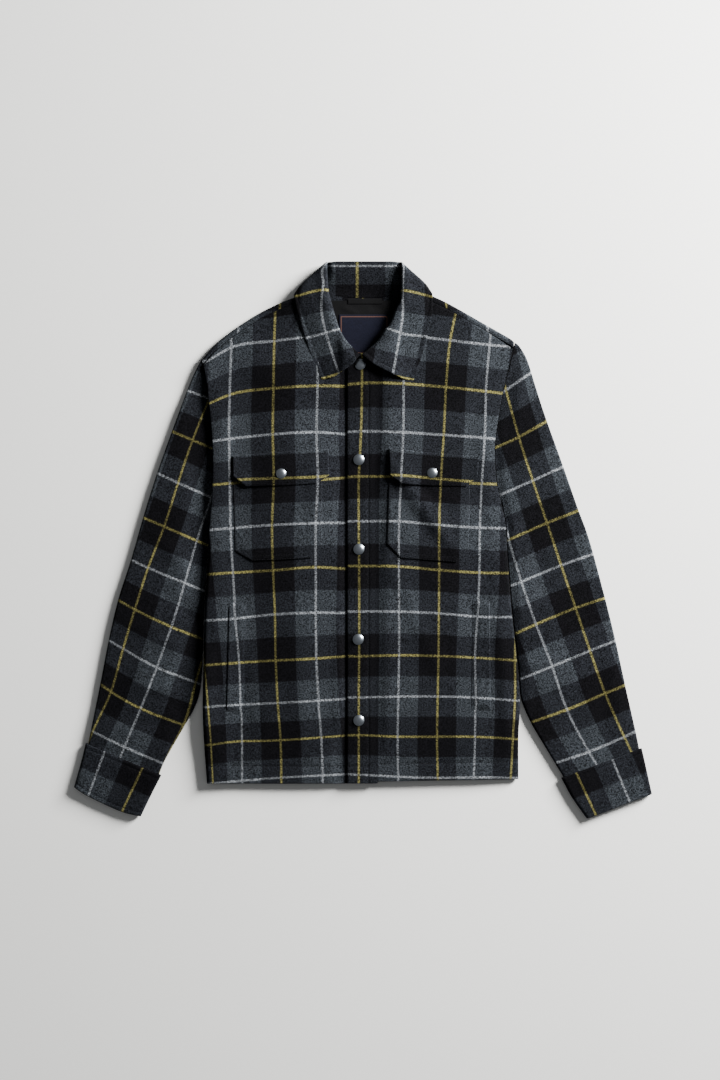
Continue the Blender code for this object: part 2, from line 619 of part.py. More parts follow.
def main():
    for old in list(bpy.data.objects):
        bpy.data.objects.remove(old, do_unlink=True)
    make_back()
    make_fronts()
    make_sleeve("right", SLEEVE_OUT_RIGHT, SLEEVE_IN_RIGHT, ARMHOLE_RIGHT, -0.8)
    make_sleeve("left", SLEEVE_OUT_LEFT, SLEEVE_IN_LEFT, ARMHOLE_LEFT, 1.5)
    make_cuff("right", CUFF_OUT_RIGHT, CUFF_IN_RIGHT, CUFF_END_RIGHT)
    make_cuff("left", CUFF_OUT_LEFT, CUFF_IN_LEFT, CUFF_END_LEFT)
    make_collar()
    make_pockets()
    make_neck()
    make_snaps()


main()
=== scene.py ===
"""A plaid wool overshirt laid flat on a pale floor, its front up and its snaps closed.

X runs across the chest, Y from hem to collar and Z up from the floor. Sizes and tables are in
millimetres and the finished meshes in metres. The wearer's right is at -X.
"""

import math

import bpy
import numpy as np
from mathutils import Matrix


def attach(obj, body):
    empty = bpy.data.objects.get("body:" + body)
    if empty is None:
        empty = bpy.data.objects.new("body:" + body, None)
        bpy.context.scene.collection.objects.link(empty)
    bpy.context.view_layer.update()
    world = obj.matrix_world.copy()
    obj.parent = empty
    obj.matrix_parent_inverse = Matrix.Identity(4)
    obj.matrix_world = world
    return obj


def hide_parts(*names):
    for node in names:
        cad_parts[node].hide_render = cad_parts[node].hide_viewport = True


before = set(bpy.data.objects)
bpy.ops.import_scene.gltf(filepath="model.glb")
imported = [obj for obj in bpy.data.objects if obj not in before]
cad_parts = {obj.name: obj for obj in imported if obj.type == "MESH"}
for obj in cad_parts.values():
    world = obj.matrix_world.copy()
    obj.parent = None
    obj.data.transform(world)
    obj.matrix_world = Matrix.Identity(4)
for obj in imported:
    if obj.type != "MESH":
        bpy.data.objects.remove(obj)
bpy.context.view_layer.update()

# The wool cloth
# A brushed wool twill in a check of black and charcoal bands, 62 mm wide, each with a fine line along
# its middle: white on charcoal, yellow on black. It is woven first, and every panel is cut from it.
# The UV map "sett" counts the lines across and down a piece: even ones are white and odd ones yellow.

BAND = 62.0
LINE_HALF = 0.9 / BAND
LINE_FUZZ = 1.5 / BAND
LINE_WANDER = 0.024
BAND_EDGES = (0.485, 0.515)
BLACK = (0.0019, 0.0018, 0.0023, 1)
DARK = (0.0074, 0.0082, 0.0101, 1)
CHARCOAL = (0.0180, 0.0206, 0.0238, 1)
WHITE = (0.19, 0.20, 0.212, 1)
YELLOW = (0.150, 0.134, 0.042, 1)
PALE_HAIR = (0.2, 0.21, 0.22, 1)
YARN_SCALE = 540.0
CLOUD_SCALE = 70.0
HAIR_SCALE = 1400.0
TWILL_RIBS = 28


def add(tree, kind, inputs=(), **settings):
    """A node with these settings; each input gets a value or a link."""
    node = tree.nodes.new(kind)
    for key, value in settings.items():
        setattr(node, key, value)
    for socket, value in dict(inputs).items():
        if isinstance(value, bpy.types.NodeSocket):
            tree.links.new(value, node.inputs[socket])
        else:
            node.inputs[socket].default_value = value
    return node


def figure(tree, operation, *values):
    return add(tree, "ShaderNodeMath", enumerate(values), operation=operation).outputs[0]


def faded(tree, value, low, high):
    """1 below low, 0 above high and a soft step between."""
    inputs = {"Value": value, "From Min": low, "From Max": high, "To Min": 1.0, "To Max": 0.0}
    return add(tree, "ShaderNodeMapRange", inputs, interpolation_type="SMOOTHSTEP").outputs[0]


def blended(tree, share, first, second):
    return add(tree, "ShaderNodeMix", {0: share, 6: first, 7: second}, data_type="RGBA").outputs[2]


def noise(tree, place, scale, detail, roughness=0.5):
    """The outputs of a noise: its value first, and its colour."""
    inputs = {"Vector": place, "Scale": scale, "Detail": detail, "Roughness": roughness}
    return add(tree, "ShaderNodeTexNoise", inputs).outputs


def vector(tree, operation, first, second):
    return add(tree, "ShaderNodeVectorMath", {0: first, 1: second}, operation=operation).outputs[0]


def group_of(name, inputs, outputs):
    """An empty node group with these sockets, and its two end nodes."""
    group = bpy.data.node_groups.new(name, "ShaderNodeTree")
    for way, sockets in (("INPUT", inputs), ("OUTPUT", outputs)):
        for socket, kind in sockets:
            group.interface.new_socket(socket, in_out=way, socket_type="NodeSocket" + kind)
    return group, group.nodes.new("NodeGroupInput"), group.nodes.new("NodeGroupOutput")


def make_check():
    """The check's colours from the line count across (X) and down (Y) a piece."""
    colours = ("Black", "Dark", "Charcoal", "White", "Yellow")
    inputs = [("Sett", "Vector")] + [(name, "Color") for name in colours]
    inputs += [("Line half width", "Float"), ("Fuzz", "Float")]
    group, given, result = group_of("check", inputs, [("Color", "Color")])
    count, half = given.outputs["Sett"], given.outputs["Line half width"]
    shift = vector(group, "SUBTRACT", noise(group, count, 46.0, 1.0)["Color"], (0.5, 0.5, 0.5))
    shift = vector(group, "MULTIPLY", shift, (LINE_WANDER, LINE_WANDER, 0.0))
    place = add(group, "ShaderNodeSeparateXYZ", {0: vector(group, "ADD", count, shift)})
    edge = figure(group, "ADD", half, given.outputs["Fuzz"])
    charcoal, white, yellow = [], [], []
    for axis in (0, 1):
        turn = figure(group, "FRACT", figure(group, "MULTIPLY", place.outputs[axis], 0.5))
        off_middle = figure(group, "ABSOLUTE", figure(group, "SUBTRACT", turn, 0.5))
        from_yellow = figure(group, "MULTIPLY", off_middle, 2.0)
        from_white = figure(group, "SUBTRACT", 1.0, from_yellow)
        charcoal.append(faded(group, from_white, *BAND_EDGES))
        white.append(faded(group, from_white, half, edge))
        yellow.append(faded(group, from_yellow, half, edge))
    worn = {"Value": noise(group, count, 38.0, 2.0)[0], "From Min": 0.35, "From Max": 0.65, "To Min": 0.45,
            "To Max": 1.2}
    worn = add(group, "ShaderNodeMapRange", worn).outputs[0]
    either = figure(group, "MAXIMUM", *charcoal)
    both = figure(group, "MULTIPLY", *charcoal)
    colour = blended(group, either, given.outputs["Black"], given.outputs["Dark"])
    colour = blended(group, both, colour, given.outputs["Charcoal"])
    lines = ((1, white, "White", 0.44, 0.26), (1, yellow, "Yellow", 0.36, 0.42),
             (0, white, "White", 0.41, 0.12), (0, yellow, "Yellow", 0.33, 0.38))
    for axis, masks, name, on_black, more_on_charcoal in lines:
        more = figure(group, "MULTIPLY", charcoal[1 - axis], more_on_charcoal)
        cover = figure(group, "MULTIPLY", figure(group, "ADD", on_black, more), worn)
        cover = figure(group, "MULTIPLY", masks[axis], figure(group, "MINIMUM", 1.0, cover))
        colour = blended(group, cover, colour, given.outputs[name])
    group.links.new(colour, result.inputs["Color"])
    return group


def make_nap():
    """Brushed wool over a colour: mottled yarns, pale hairs and the height of the fine twill."""
    inputs = [("Color", "Color"), ("Place", "Vector"), ("Sett", "Vector"), ("Mottle", "Float")]
    group, given, result = group_of("nap", inputs, [("Color", "Color"), ("Height", "Float")])
    place = given.outputs["Place"]
    yarn = noise(group, place, YARN_SCALE, 3.0, 0.8)[0]
    cloud = noise(group, place, CLOUD_SCALE, 2.0)[0]
    hair = noise(group, place, HAIR_SCALE, 0.0)[0]
    contrast = add(group, "ShaderNodeMapRange", {"Value": yarn, "From Min": 0.32, "From Max": 0.68})
    lift = figure(group, "SUBTRACT", contrast.outputs[0], 0.5)
    lift = figure(group, "MULTIPLY", lift, given.outputs["Mottle"])
    soft = figure(group, "MULTIPLY", figure(group, "SUBTRACT", cloud, 0.5), 0.35)
    level = figure(group, "ADD", 1.0, figure(group, "ADD", lift, soft))
    scaled = {0: given.outputs["Color"], "Scale": level}
    scaled = add(group, "ShaderNodeVectorMath", scaled, operation="SCALE").outputs[0]
    pale = faded(group, figure(group, "SUBTRACT", 1.0, hair), 0.28, 0.4)
    colour = blended(group, figure(group, "MULTIPLY", pale, 0.008), scaled, PALE_HAIR)
    group.links.new(colour, result.inputs["Color"])
    count = add(group, "ShaderNodeSeparateXYZ", {0: given.outputs["Sett"]}).outputs
    diagonal = figure(group, "MULTIPLY", figure(group, "ADD", count[0], count[1]), 2 * math.pi * TWILL_RIBS)
    twill = figure(group, "MULTIPLY", figure(group, "SINE", diagonal), 0.3)
    group.links.new(figure(group, "ADD", yarn, twill), result.inputs["Height"])
    return group


def new_material(name, values=()):
    """A material, its tree and its shader, with these values set on the shader."""
    material = bpy.data.materials.new(name)
    material.use_nodes = True
    shader = material.node_tree.nodes["Principled BSDF"]
    for socket, value in dict(values).items():
        shader.inputs[socket].default_value = value
    return material, material.node_tree, shader


def object_place(tree):
    return add(tree, "ShaderNodeTexCoord").outputs["Object"]


def napped(tree, shader, colour, sett, mottle, strength, depth):
    """Takes a colour through the nap to the shader, with its bump, and gives the napped colour."""
    inputs = {"Color": colour, "Place": object_place(tree), "Sett": sett, "Mottle": mottle}
    surface = add(tree, "ShaderNodeGroup", inputs, node_tree=nap).outputs
    inputs = {"Strength": strength, "Distance": depth, "Height": surface["Height"]}
    bump = add(tree, "ShaderNodeBump", inputs)
    tree.links.new(surface["Color"], shader.inputs["Base Color"])
    tree.links.new(bump.outputs[0], shader.inputs["Normal"])
    return surface["Color"]


def make_wool(check):
    material, tree, shader = new_material("brushed wool check", {
        "Roughness": 0.92, "Specular IOR Level": 0.03, "Sheen Weight": 0.012, "Sheen Roughness": 0.5,
        "Sheen Tint": (0.8, 0.86, 1.0, 1)})
    sett = add(tree, "ShaderNodeUVMap", uv_map="sett").outputs[0]
    inputs = {"Sett": sett, "Black": BLACK, "Dark": DARK, "Charcoal": CHARCOAL, "White": WHITE,
              "Yellow": YELLOW, "Line half width": LINE_HALF, "Fuzz": LINE_FUZZ}
    pattern = add(tree, "ShaderNodeGroup", inputs, node_tree=check)
    napped(tree, shader, pattern.outputs[0], sett, 3.0, 0.55, 0.0005)
    return material


nap = make_nap()
wool = make_wool(make_check())

# The back
# One piece of the wool, flat on the floor. It turns up to the side seams and comes over the shoulders
# to seams that lie 9 mm forward, and the folded collar lifts it a little at the neck.

SHELL = 3.0
SEAM = 0.3
LAY = 0.5
SIDE_RIGHT = [(-222, -346), (-226, -290), (-228, -240), (-227, -179), (-226, -114), (-223, -58), (-219, 0)]
SIDE_LEFT = [(221, -340), (221, -281), (223, -229), (219, -173), (212, -109), (207, -50), (204, 0)]
ARMHOLE_RIGHT = [
    (-219, 0), (-217, 28), (-214, 71), (-213, 114), (-215, 156), (-219, 196), (-223, 230), (-229, 257)]
ARMHOLE_LEFT = [
    (204, 0), (202, 26), (195, 57), (189, 90), (187, 133), (192, 171), (199, 212), (208, 248), (215, 281)]
SHOULDER_RIGHT = [(-229, 257), (-210, 278), (-181, 301), (-141, 326), (-104, 342), (-82, 349), (-61, 355)]
SHOULDER_LEFT = [(215, 281), (208, 287), (173, 307), (129, 332), (104, 344), (85, 351), (65, 356)]
NECK_RIGHT = [(-61, 355), (-61, 327), (-55, 302), (-44, 283), (-30, 268), (-22, 265)]
NECK_LEFT = [(65, 356), (64, 327), (58, 302), (47, 283), (31, 268), (21.5, 265)]
NECK_BACK = [(-61, 355), (-47, 349), (-26, 345), (1, 344), (28, 345), (50, 349), (65, 356)]
NECK_MIDDLE = (1, 330)
NECK_REACH = (105, 112)
ARM_SPLIT = 0.58
SHOULDER_TURN = 9.0
SHOULDER_GAP = 0.7
SHOULDER_RADIUS = 6.5
BACK_SIDE_RADIUS = 5.0
BACK_WALL = 2.4
FALL = 2.6
FALL_EDGE = (323, 24, 97)
AIR = 2.0
SIDE_FOLD = 16.0
SIDE_RISE = 1.8
EDGE_STEPS = (0.0, 0.6, 1.4, 2.6, 4.2, 6.4, 9.5)
HEM_STEPS = (0.0, 0.6, 1.4, 2.6, 4.5, 8.0, 12.0, 16.0, 20.0, 23.2, 24.5, 25.5, 26.8, 30.0)
TURN_STEPS = (11.0, 8.5, 6.5, 5.0, 3.7, 2.6, 1.7, 1.0, 0.5, 0.15, 0.0)
BELOW_TURN = 14.0
PITCH = 4.2
BACK_LENGTHWISE = [(y, -236, -177, -118, -59, 0, 59, 118, 177, 236) for y in (-350, 360)]
BACK_CROSSWISE = [(x, 400) + tuple(252 - 62 * k for k in range(11)) for x in (-250, 250)]


def smoothstep(value):
    value = np.clip(value, 0, 1)
    return value * value * (3 - 2 * value)


def path(table, shares):
    """Points at these shares of the length of a smooth curve through the table's points."""
    table = np.array(table, float)
    if len(table) > 2:
        ends = np.vstack([2 * table[0] - table[1], table, 2 * table[-1] - table[-2]])
        step = np.linspace(0, 1, 12, endpoint=False)[:, None]
        runs = []
        for a, b, c, d in zip(ends[:-3], ends[1:-2], ends[2:-1], ends[3:]):
            bend = 2 * a - 5 * b + 4 * c - d + step * (3 * (b - c) + d - a)
            runs.append(b + 0.5 * step * (c - a + step * bend))
        table = np.vstack(runs + [table[-1:]])
    along = np.concatenate([[0], np.cumsum(np.linalg.norm(np.diff(table, axis=0), axis=1))])
    wanted = np.asarray(shares) * along[-1]
    return np.stack([np.interp(wanted, along, table[:, k]) for k in range(table.shape[1])], axis=1)


def length(table):
    return np.linalg.norm(np.diff(path(table, np.linspace(0, 1, 60)), axis=0), axis=1).sum()


def spread(total, start, end, pitch=PITCH):
    """Shares of a length at these distances from its start and its end, and one pitch apart between."""
    first = np.array(start) / total
    last = 1 - np.array(end)[::-1] / total
    count = max(1, round((last[0] - first[-1]) * total / pitch))
    return np.concatenate([first, np.linspace(first[-1], last[0], count + 1)[1:-1], last])


def joined(*runs):
    """Runs of points end to end, each shared end kept once."""
    return np.vstack([runs[0]] + [run[1:] for run in runs[1:]])


def patch(left, right, bottom, top, across, up):
    """Plan grid between four edges; across and up are the shares of each column and row."""
    u, v = np.asarray(across)[None, :, None], np.asarray(up)[:, None, None]
    sides = (1 - u) * left[:, None] + u * right[:, None]
    ends = (1 - v) * bottom[None] + v * top[None]
    corners = (1 - u) * ((1 - v) * left[0] + v * left[-1]) + u * ((1 - v) * right[0] + v * right[-1])
    return sides + ends - corners


def from_start(grid, axis):
    """Distance of each grid point along its row (axis 1) or its column (axis 0)."""
    steps = np.linalg.norm(np.diff(grid, axis=axis), axis=2)
    start = np.zeros_like(np.take(steps, [0], axis=axis))
    return np.concatenate([start, np.cumsum(steps, axis=axis)], axis=axis)


def from_end(grid, axis):
    return np.flip(from_start(np.flip(grid, axis), axis), axis)


def turned(distance, radius):
    """Share of a fold's half height at a distance in from the fold: a quarter circle, then 1."""
    inside = np.clip(1 - distance / radius, 0, 1)
    return np.sqrt(1 - inside * inside)


def lifted(plan, height):
    return np.dstack([plan, height])


def near_neck(x, y):
    """1 in an oval round the neck's opening, and 0 a little way out of it."""
    out = np.hypot((x - NECK_MIDDLE[0]) / NECK_REACH[0], (y - NECK_MIDDLE[1]) / NECK_REACH[1])
    return 1 - smoothstep((out - 1) / 0.4)


def under_back(x, y):
    """Underside of the back: flat, and lifted at the neck by the fall that is folded under it."""
    low, sag, half = FALL_EDGE
    fall_edge = low + sag * (x / half) ** 2
    return (FALL + LAY) * smoothstep((y - fall_edge + 68) / 60) * (1 - smoothstep((np.abs(x) - 104) / 36))


def side_distance(x, y):
    right = SIDE_RIGHT + ARMHOLE_RIGHT[1:]
    left = SIDE_LEFT + ARMHOLE_LEFT[1:]
    from_right = x - np.interp(y, [row[1] for row in right], [row[0] for row in right])
    from_left = np.interp(y, [row[1] for row in left], [row[0] for row in left]) - x
    return np.minimum(from_right, from_left)


def over_panel(x, y):
    """Outer face of the fronts away from the placket."""
    side = np.exp(-(((side_distance(x, y) - SIDE_FOLD) / SIDE_FOLD) ** 2))
    below_shoulder = 1 - smoothstep((y - 150) / 100)
    above_hem = smoothstep((y + 350) / 40)
    layers = under_back(x, y) + 2 * SHELL + AIR
    return layers + SIDE_RISE * side * below_shoulder * above_hem + near_neck(x, y)


def eased(value, places, values):
    """A smooth curve through values at these places, straight on beyond them."""
    places, values = np.asarray(places, float), np.asarray(values, float)
    slope = np.gradient(values, places)
    k = np.clip(np.searchsorted(places, value) - 1, 0, len(places) - 2)
    step = places[k + 1] - places[k]
    t = (value - places[k]) / step
    s = np.clip(t, 0, 1)
    inside = ((2 * s ** 3 - 3 * s ** 2 + 1) * values[k] + (s ** 3 - 2 * s ** 2 + s) * step * slope[k]
              + (3 * s ** 2 - 2 * s ** 3) * values[k + 1] + (s ** 3 - s ** 2) * step * slope[k + 1])
    return inside + (t - s) * step * np.where(t > 1, slope[k + 1], slope[k])


def lines_passed(value, lines, first):
    """Where each value lies among the lines beside it, in lines."""
    k = np.clip((lines <= value).sum(axis=0) - 1, 0, len(lines) - 2)[None]
    here, after = np.take_along_axis(lines, k, 0), np.take_along_axis(lines, k + 1, 0)
    return first + (k + (value - here) / (after - here))[0]


def sett_at(x, y, lengthwise, first, crosswise, top=0):
    """The check's line count at x, y. lengthwise has rows of y and each line's x, from the hem up, and
    crosswise rows of x and each line's y, from the top line down."""
    lengthwise, crosswise = np.array(lengthwise, float), np.array(crosswise, float)
    flat_x, flat_y = np.nan_to_num(x).ravel(), np.nan_to_num(y).ravel()
    upright = np.stack([eased(flat_y, lengthwise[:, 0], line) for line in lengthwise.T[1:]])
    level = np.stack([eased(flat_x, crosswise[:, 0], line) for line in crosswise.T[1:]])
    count = np.stack([lines_passed(flat_x, upright, first), lines_passed(-flat_y, -level, top)], axis=1)
    return count.reshape(*x.shape, 2)


def creased(x, y, table):
    """Height of soft ridges and troughs, rows of x, y, x, y, half width and height."""
    total = np.zeros_like(x)
    for x0, y0, x1, y1, width, height in table:
        size = math.hypot(x1 - x0, y1 - y0)
        along = ((x - x0) * (x1 - x0) + (y - y0) * (y1 - y0)) / size
        across = ((y - y0) * (x1 - x0) - (x - x0) * (y1 - y0)) / size
        total = total + height * np.exp(-(across / width) ** 2 - (2 * along / size - 1) ** 4)
    return total


def beside_shoulder(armhole, shoulder, neck, across, distance):
    """A line beside the shoulder fold, this far down the armhole and down the neck."""
    line = path(shoulder, across)
    slide = np.asarray(across)[:, None]
    arm = path(armhole, [1, 1 - distance / length(armhole)])
    collar = path(neck, [0, distance / length(neck)])
    return line + (1 - slide) * (arm[1] - arm[0]) + slide * (collar[1] - collar[0])


def side_folded(y):
    """1 below the armholes, where front and back meet in a fold, and 0 beside them."""
    return smoothstep((8 - y) / 26)


def across_line(points):
    """Level unit directions across a plan line."""
    along = np.gradient(points, axis=0)
    across = np.nan_to_num(np.stack([-along[:, 1], along[:, 0]], axis=1))
    return across / np.maximum(np.linalg.norm(across, axis=1, keepdims=True), 1e-9)


def body_seams(plan, ends):
    """Directions across the hem, the last row and the armholes of a body panel."""
    seams = np.zeros(plan.shape)
    for row in (0, -1):
        seams[row] = across_line(plan[row])
    for column in ends:
        beside_arm = 1 - side_folded(plan[:, column, 1])[:, None]
        seams[1:-1, column] = (beside_arm * across_line(plan[:, column]))[1:-1]
    return seams


def fold_line(plan, ends):
    """How level the wall is at each point: 1 on the side folds, which are the columns at these ends."""
    level = np.zeros(plan.shape[:2])
    for column in ends:
        level[:, column] = side_folded(plan[:, column, 1])
    return level


def cells_of(grid, closed):
    """Corners of each whole cell of a grid, as point numbers."""
    rows, columns = grid.shape[:2]
    number = np.arange(rows * columns).reshape(rows, columns)
    if closed:
        number = np.hstack([number, number[:, :1]])
    cells = np.stack([number[:-1, :-1], number[:-1, 1:], number[1:, 1:], number[1:, :-1]], axis=2)
    cells = cells.reshape(-1, 4)
    return cells[np.isfinite(grid.reshape(-1, 3)[cells]).all(axis=(1, 2))]


def normals_of(points, cells):
    """Mean of the unit normals of the cells round each point."""
    corner = points[cells]
    facing = np.cross(corner[:, 2] - corner[:, 0], corner[:, 3] - corner[:, 1])
    facing /= np.maximum(np.linalg.norm(facing, axis=1, keepdims=True), 1e-9)
    total = np.zeros_like(points)
    for k in range(4):
        np.add.at(total, cells[:, k], facing)
    return total / np.maximum(np.linalg.norm(total, axis=1, keepdims=True), 1e-9)


def solid_object(name, points, faces, material, sett=None):
    """A mesh object of the finished points, given in millimetres."""
    mesh = bpy.data.meshes.new(name)
    mesh.from_pydata((np.asarray(points) * 0.001).tolist(), [], faces)
    if sett is not None:
        layer = mesh.uv_layers.new(name="sett")
        corner = np.zeros(len(mesh.loops), int)
        mesh.loops.foreach_get("vertex_index", corner)
        layer.data.foreach_set("uv", sett[corner].ravel())
    mesh.materials.append(material)
    mesh.shade_smooth()
    mesh.set_sharp_from_angle(angle=math.radians(60))
    obj = bpy.data.objects.new(name, mesh)
    bpy.context.scene.collection.objects.link(obj)
    return obj


def cloth(name, grid, wall, sett, material, closed=False, upright=False, level=None, seams=None):
    """A wall of cloth with the grid as its outer face and its inner face never below the floor."""
    cells = cells_of(grid, closed)
    points = grid.reshape(-1, 3)
    inward = normals_of(np.nan_to_num(points), cells)
    if upright:
        inward = np.tile([0.0, 0.0, 1.0], (len(points), 1))
    if level is not None:
        inward[:, 2] *= 1 - level.reshape(-1)
    if seams is not None:
        across = seams.reshape(-1, 2)
        inward[:, :2] -= across * (inward[:, :2] * across).sum(axis=1, keepdims=True)
    inward /= np.maximum(np.linalg.norm(inward, axis=1, keepdims=True), 1e-9)
    both = np.concatenate([points, points - inward * wall])
    both[:, 2] = np.maximum(both[:, 2], 0.0)
    count = len(points)
    edges = np.concatenate([cells[:, [k, (k + 1) % 4]] for k in range(4)])
    keys = set(map(tuple, edges.tolist()))
    rim = [(a, b) for a, b in edges.tolist() if (b, a) not in keys]
    faces = cells.tolist() + (cells[:, ::-1] + count).tolist()
    faces += [[b, a, count + a, count + b] for a, b in rim]
    used = np.unique(np.concatenate([cells.ravel(), cells.ravel() + count]))
    place = np.zeros(2 * count, int)
    place[used] = np.arange(len(used))
    faces = [[int(place[c]) for c in face] for face in faces]
    doubled = None if sett is None else np.concatenate([sett.reshape(-1, 2)] * 2)[used]
    return solid_object(name + "_cloth", both[used], faces, material, doubled)


def finish_cloth(piece, node):
    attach(piece, "root")
    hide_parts(node)


side_rows = spread(346, HEM_STEPS, (0.0,))
arm_rows = spread(150, (0.0,), (0.0,))
shoulder_columns = spread(length(SHOULDER_RIGHT), EDGE_STEPS, (0.0,))


def arm_runs(side, armhole, end, neck_rows):
    """Points up the side and the armhole, the last ones up to this share of the armhole."""
    lower = path(armhole, ARM_SPLIT * arm_rows)
    return joined(path(side, side_rows), lower, path(armhole, ARM_SPLIT + (end - ARM_SPLIT) * neck_rows))


def make_back():
    neck_rows = np.linspace(0, 1, 24)
    neck_columns = np.linspace(0, 1, 33)
    right, left = [arm_runs(side, armhole, 1 - BELOW_TURN / length(armhole), neck_rows)
                   for side, armhole in ((SIDE_RIGHT, ARMHOLE_RIGHT), (SIDE_LEFT, ARMHOLE_LEFT))]

    def beside_top(distance):
        """A line this far inside the shoulder folds and the back neck."""
        shoulders = [beside_shoulder(armhole, shoulder, neck, shoulder_columns, distance)
                     for armhole, shoulder, neck in ((ARMHOLE_RIGHT, SHOULDER_RIGHT, NECK_RIGHT),
                                                     (ARMHOLE_LEFT, SHOULDER_LEFT, NECK_LEFT))]
        return joined(shoulders[0], path(NECK_BACK, neck_columns) - (0, distance), shoulders[1][::-1])

    top = beside_top(BELOW_TURN)
    across = from_start(top[None], 1)[0]
    across /= across[-1]
    bottom = path([SIDE_RIGHT[0], (1, -344), SIDE_LEFT[0]], across)
    up = from_start(right[:, None], 0)[:, 0]
    plan = patch(right, left, bottom, top, across, up / up[-1])
    first_turn = plan.shape[0]
    fold_row = first_turn + len(TURN_STEPS) - 1
    turn = np.concatenate([TURN_STEPS, TURN_STEPS[-2:2:-1], [SHOULDER_TURN - SHOULDER_GAP]])
    plan = np.concatenate([plan, [beside_top(distance) for distance in turn]])
    neck = slice(len(shoulder_columns), len(shoulder_columns) + len(neck_columns) - 2)
    x, y = plan[..., 0], plan[..., 1]
    low, high = under_back(x, y), over_panel(x, y)
    side = turned(np.minimum(from_start(plan, 1), from_end(plan, 1)), BACK_SIDE_RADIUS)
    height = low + side_folded(y) * ((high - low) / 2 - SEAM / 2) * (1 - side)
    for row, distance in enumerate(turn, first_turn):
        sign = 1 if row > fold_row else -1
        rise = sign * (high[row] - low[row]) / 2 * turned(distance, SHOULDER_RADIUS)
        folded = (high[row] + low[row]) / 2 + rise
        if row > fold_row:
            folded = folded - 0.7 * smoothstep((distance - SHOULDER_RADIUS) / 2)
        folded[neck] = low[row, neck]
        height[row] = folded
    level, seams = fold_line(plan, (0, -1)), body_seams(plan, (0, -1))
    sett = sett_at(x, y, BACK_LENGTHWISE, -3, BACK_CROSSWISE, 1)
    plan[fold_row + 1:, neck] = np.nan
    grid, sett, level, seams = [part[:, ::-1] for part in (lifted(plan, height), sett, level, seams)]
    piece = cloth("back", grid, BACK_WALL, sett, wool, level=level, seams=seams)
    finish_cloth(piece, "back")


make_back()

# The fronts
# The right front runs on as an underlap beneath the placket. The left front ends in the placket, folded
# back, stitched 31 mm in and faced, and both have a 25 mm hem and meet the back at seams that sink in.

PLACKET_LEFT = -23.0
PLACKET_RIGHT = 21.5
PLACKET_STITCH = 7.8
PLACKET_TOP = 2.8
PLACKET_HEM = -345.5
HEM_RIGHT = [(-222, -346), (-22, -346)]
HEM_LEFT = [(221, -340), (110, -341.5), (21.5, -343)]
HEM_STITCH = 25.0
STRIP = [18.0, 14.5, 11.5, 9.6, 8.6, 7.8, 7.0, 6.0, 3.5, 0.0, -4.0, -8.0, -12.0, -16.0, -18.6, -20.4, -21.6,
         -22.4, PLACKET_LEFT]
RIGHT_WALL = 2.4
LEFT_WALL = 1.5
FACING_WALL = 0.8
FRONT_RADIUS = 4.5
PUFF = 3.8
PUFF_MIDDLE = -92.0
PUFF_HALF = 115.0
ROLL = {"right": 2.0, "left": -2.0}
ROLL_WIDTH = 60.0
FAR = 99.0
RIGHT_LENGTHWISE = [
    (-345, -213, -172, -116, -57), (-285, -216, -172, -117, -59), (-231, -220, -173, -121, -63),
    (-170, -226, -175, -124, -66), (-105, -234, -181, -125, -67), (-57, -240, -184, -127, -67),
    (20, -248, -188, -129, -67), (87, -250, -189, -126.5, -64), (149, -251, -190, -128, -66),
    (220, -250, -189, -127, -64.5), (281, -250, -187, -126, -64.5), (340, -250, -188, -124, -64.5)]
RIGHT_CROSSWISE = [
    (-226, 251, 190, 138.5, 77, 13.5, -49, -114.5, -177.5, -237, -291.5, -346.5),
    (-186, 273.5, 207, 144, 80.5, 17, -46.5, -112, -175, -234.5, -286.5, -343),
    (-126, 282.5, 215, 150, 83, 21.5, -43, -105.5, -171, -231.5, -284.5, -338),
    (-65, 290, 218.5, 153, 85, 24, -38.5, -103, -168, -228, -280.5, -334.5),
    (-30, 294, 218, 150.5, 88, 24.5, -40.5, -103.5, -165.5, -226, -278, -333)]
LEFT_LENGTHWISE = [
    (-345, -6, 50, 106.5, 157, 209.5), (-280, -6, 49, 105, 159, 213), (-223, -6, 50, 106, 159, 216),
    (-165, -5.5, 51, 107, 158, 216), (-57, -5.5, 51, 108, 165, 222), (20, -6, 51, 108, 166, 224),
    (87, -6, 54, 110.5, 169, 228), (149, -3, 57, 114.5, 173, 232), (220, -1.5, 57.5, 118, 175, 234),
    (284, -1.5, 57.5, 124, 180.5, 240), (325, -1.5, 57.5, 132.5, 184.5, 243)]
LEFT_CROSSWISE = [
    (-23, 297, 220, 153, 89.5, 26.5, -37, -101.5, -165, -223.5, -277, -332.5),
    (-6, 296, 222, 154, 90, 26.5, -37, -101.5, -165, -223.5, -277, -333),
    (50, 291, 222, 153, 89.5, 26.5, -37.5, -101.5, -163.5, -222, -279, -336),
    (106, 285.5, 218, 149.5, 84.5, 21.5, -42.5, -104, -164.5, -222, -279, -337.5),
    (166, 278.5, 212, 145.5, 80, 17.5, -46.5, -109, -167.5, -224, -279.5, -337),
    (216, 274, 206.5, 140.5, 79, 16.5, -47, -109.5, -171, -228, -282.5, -338)]
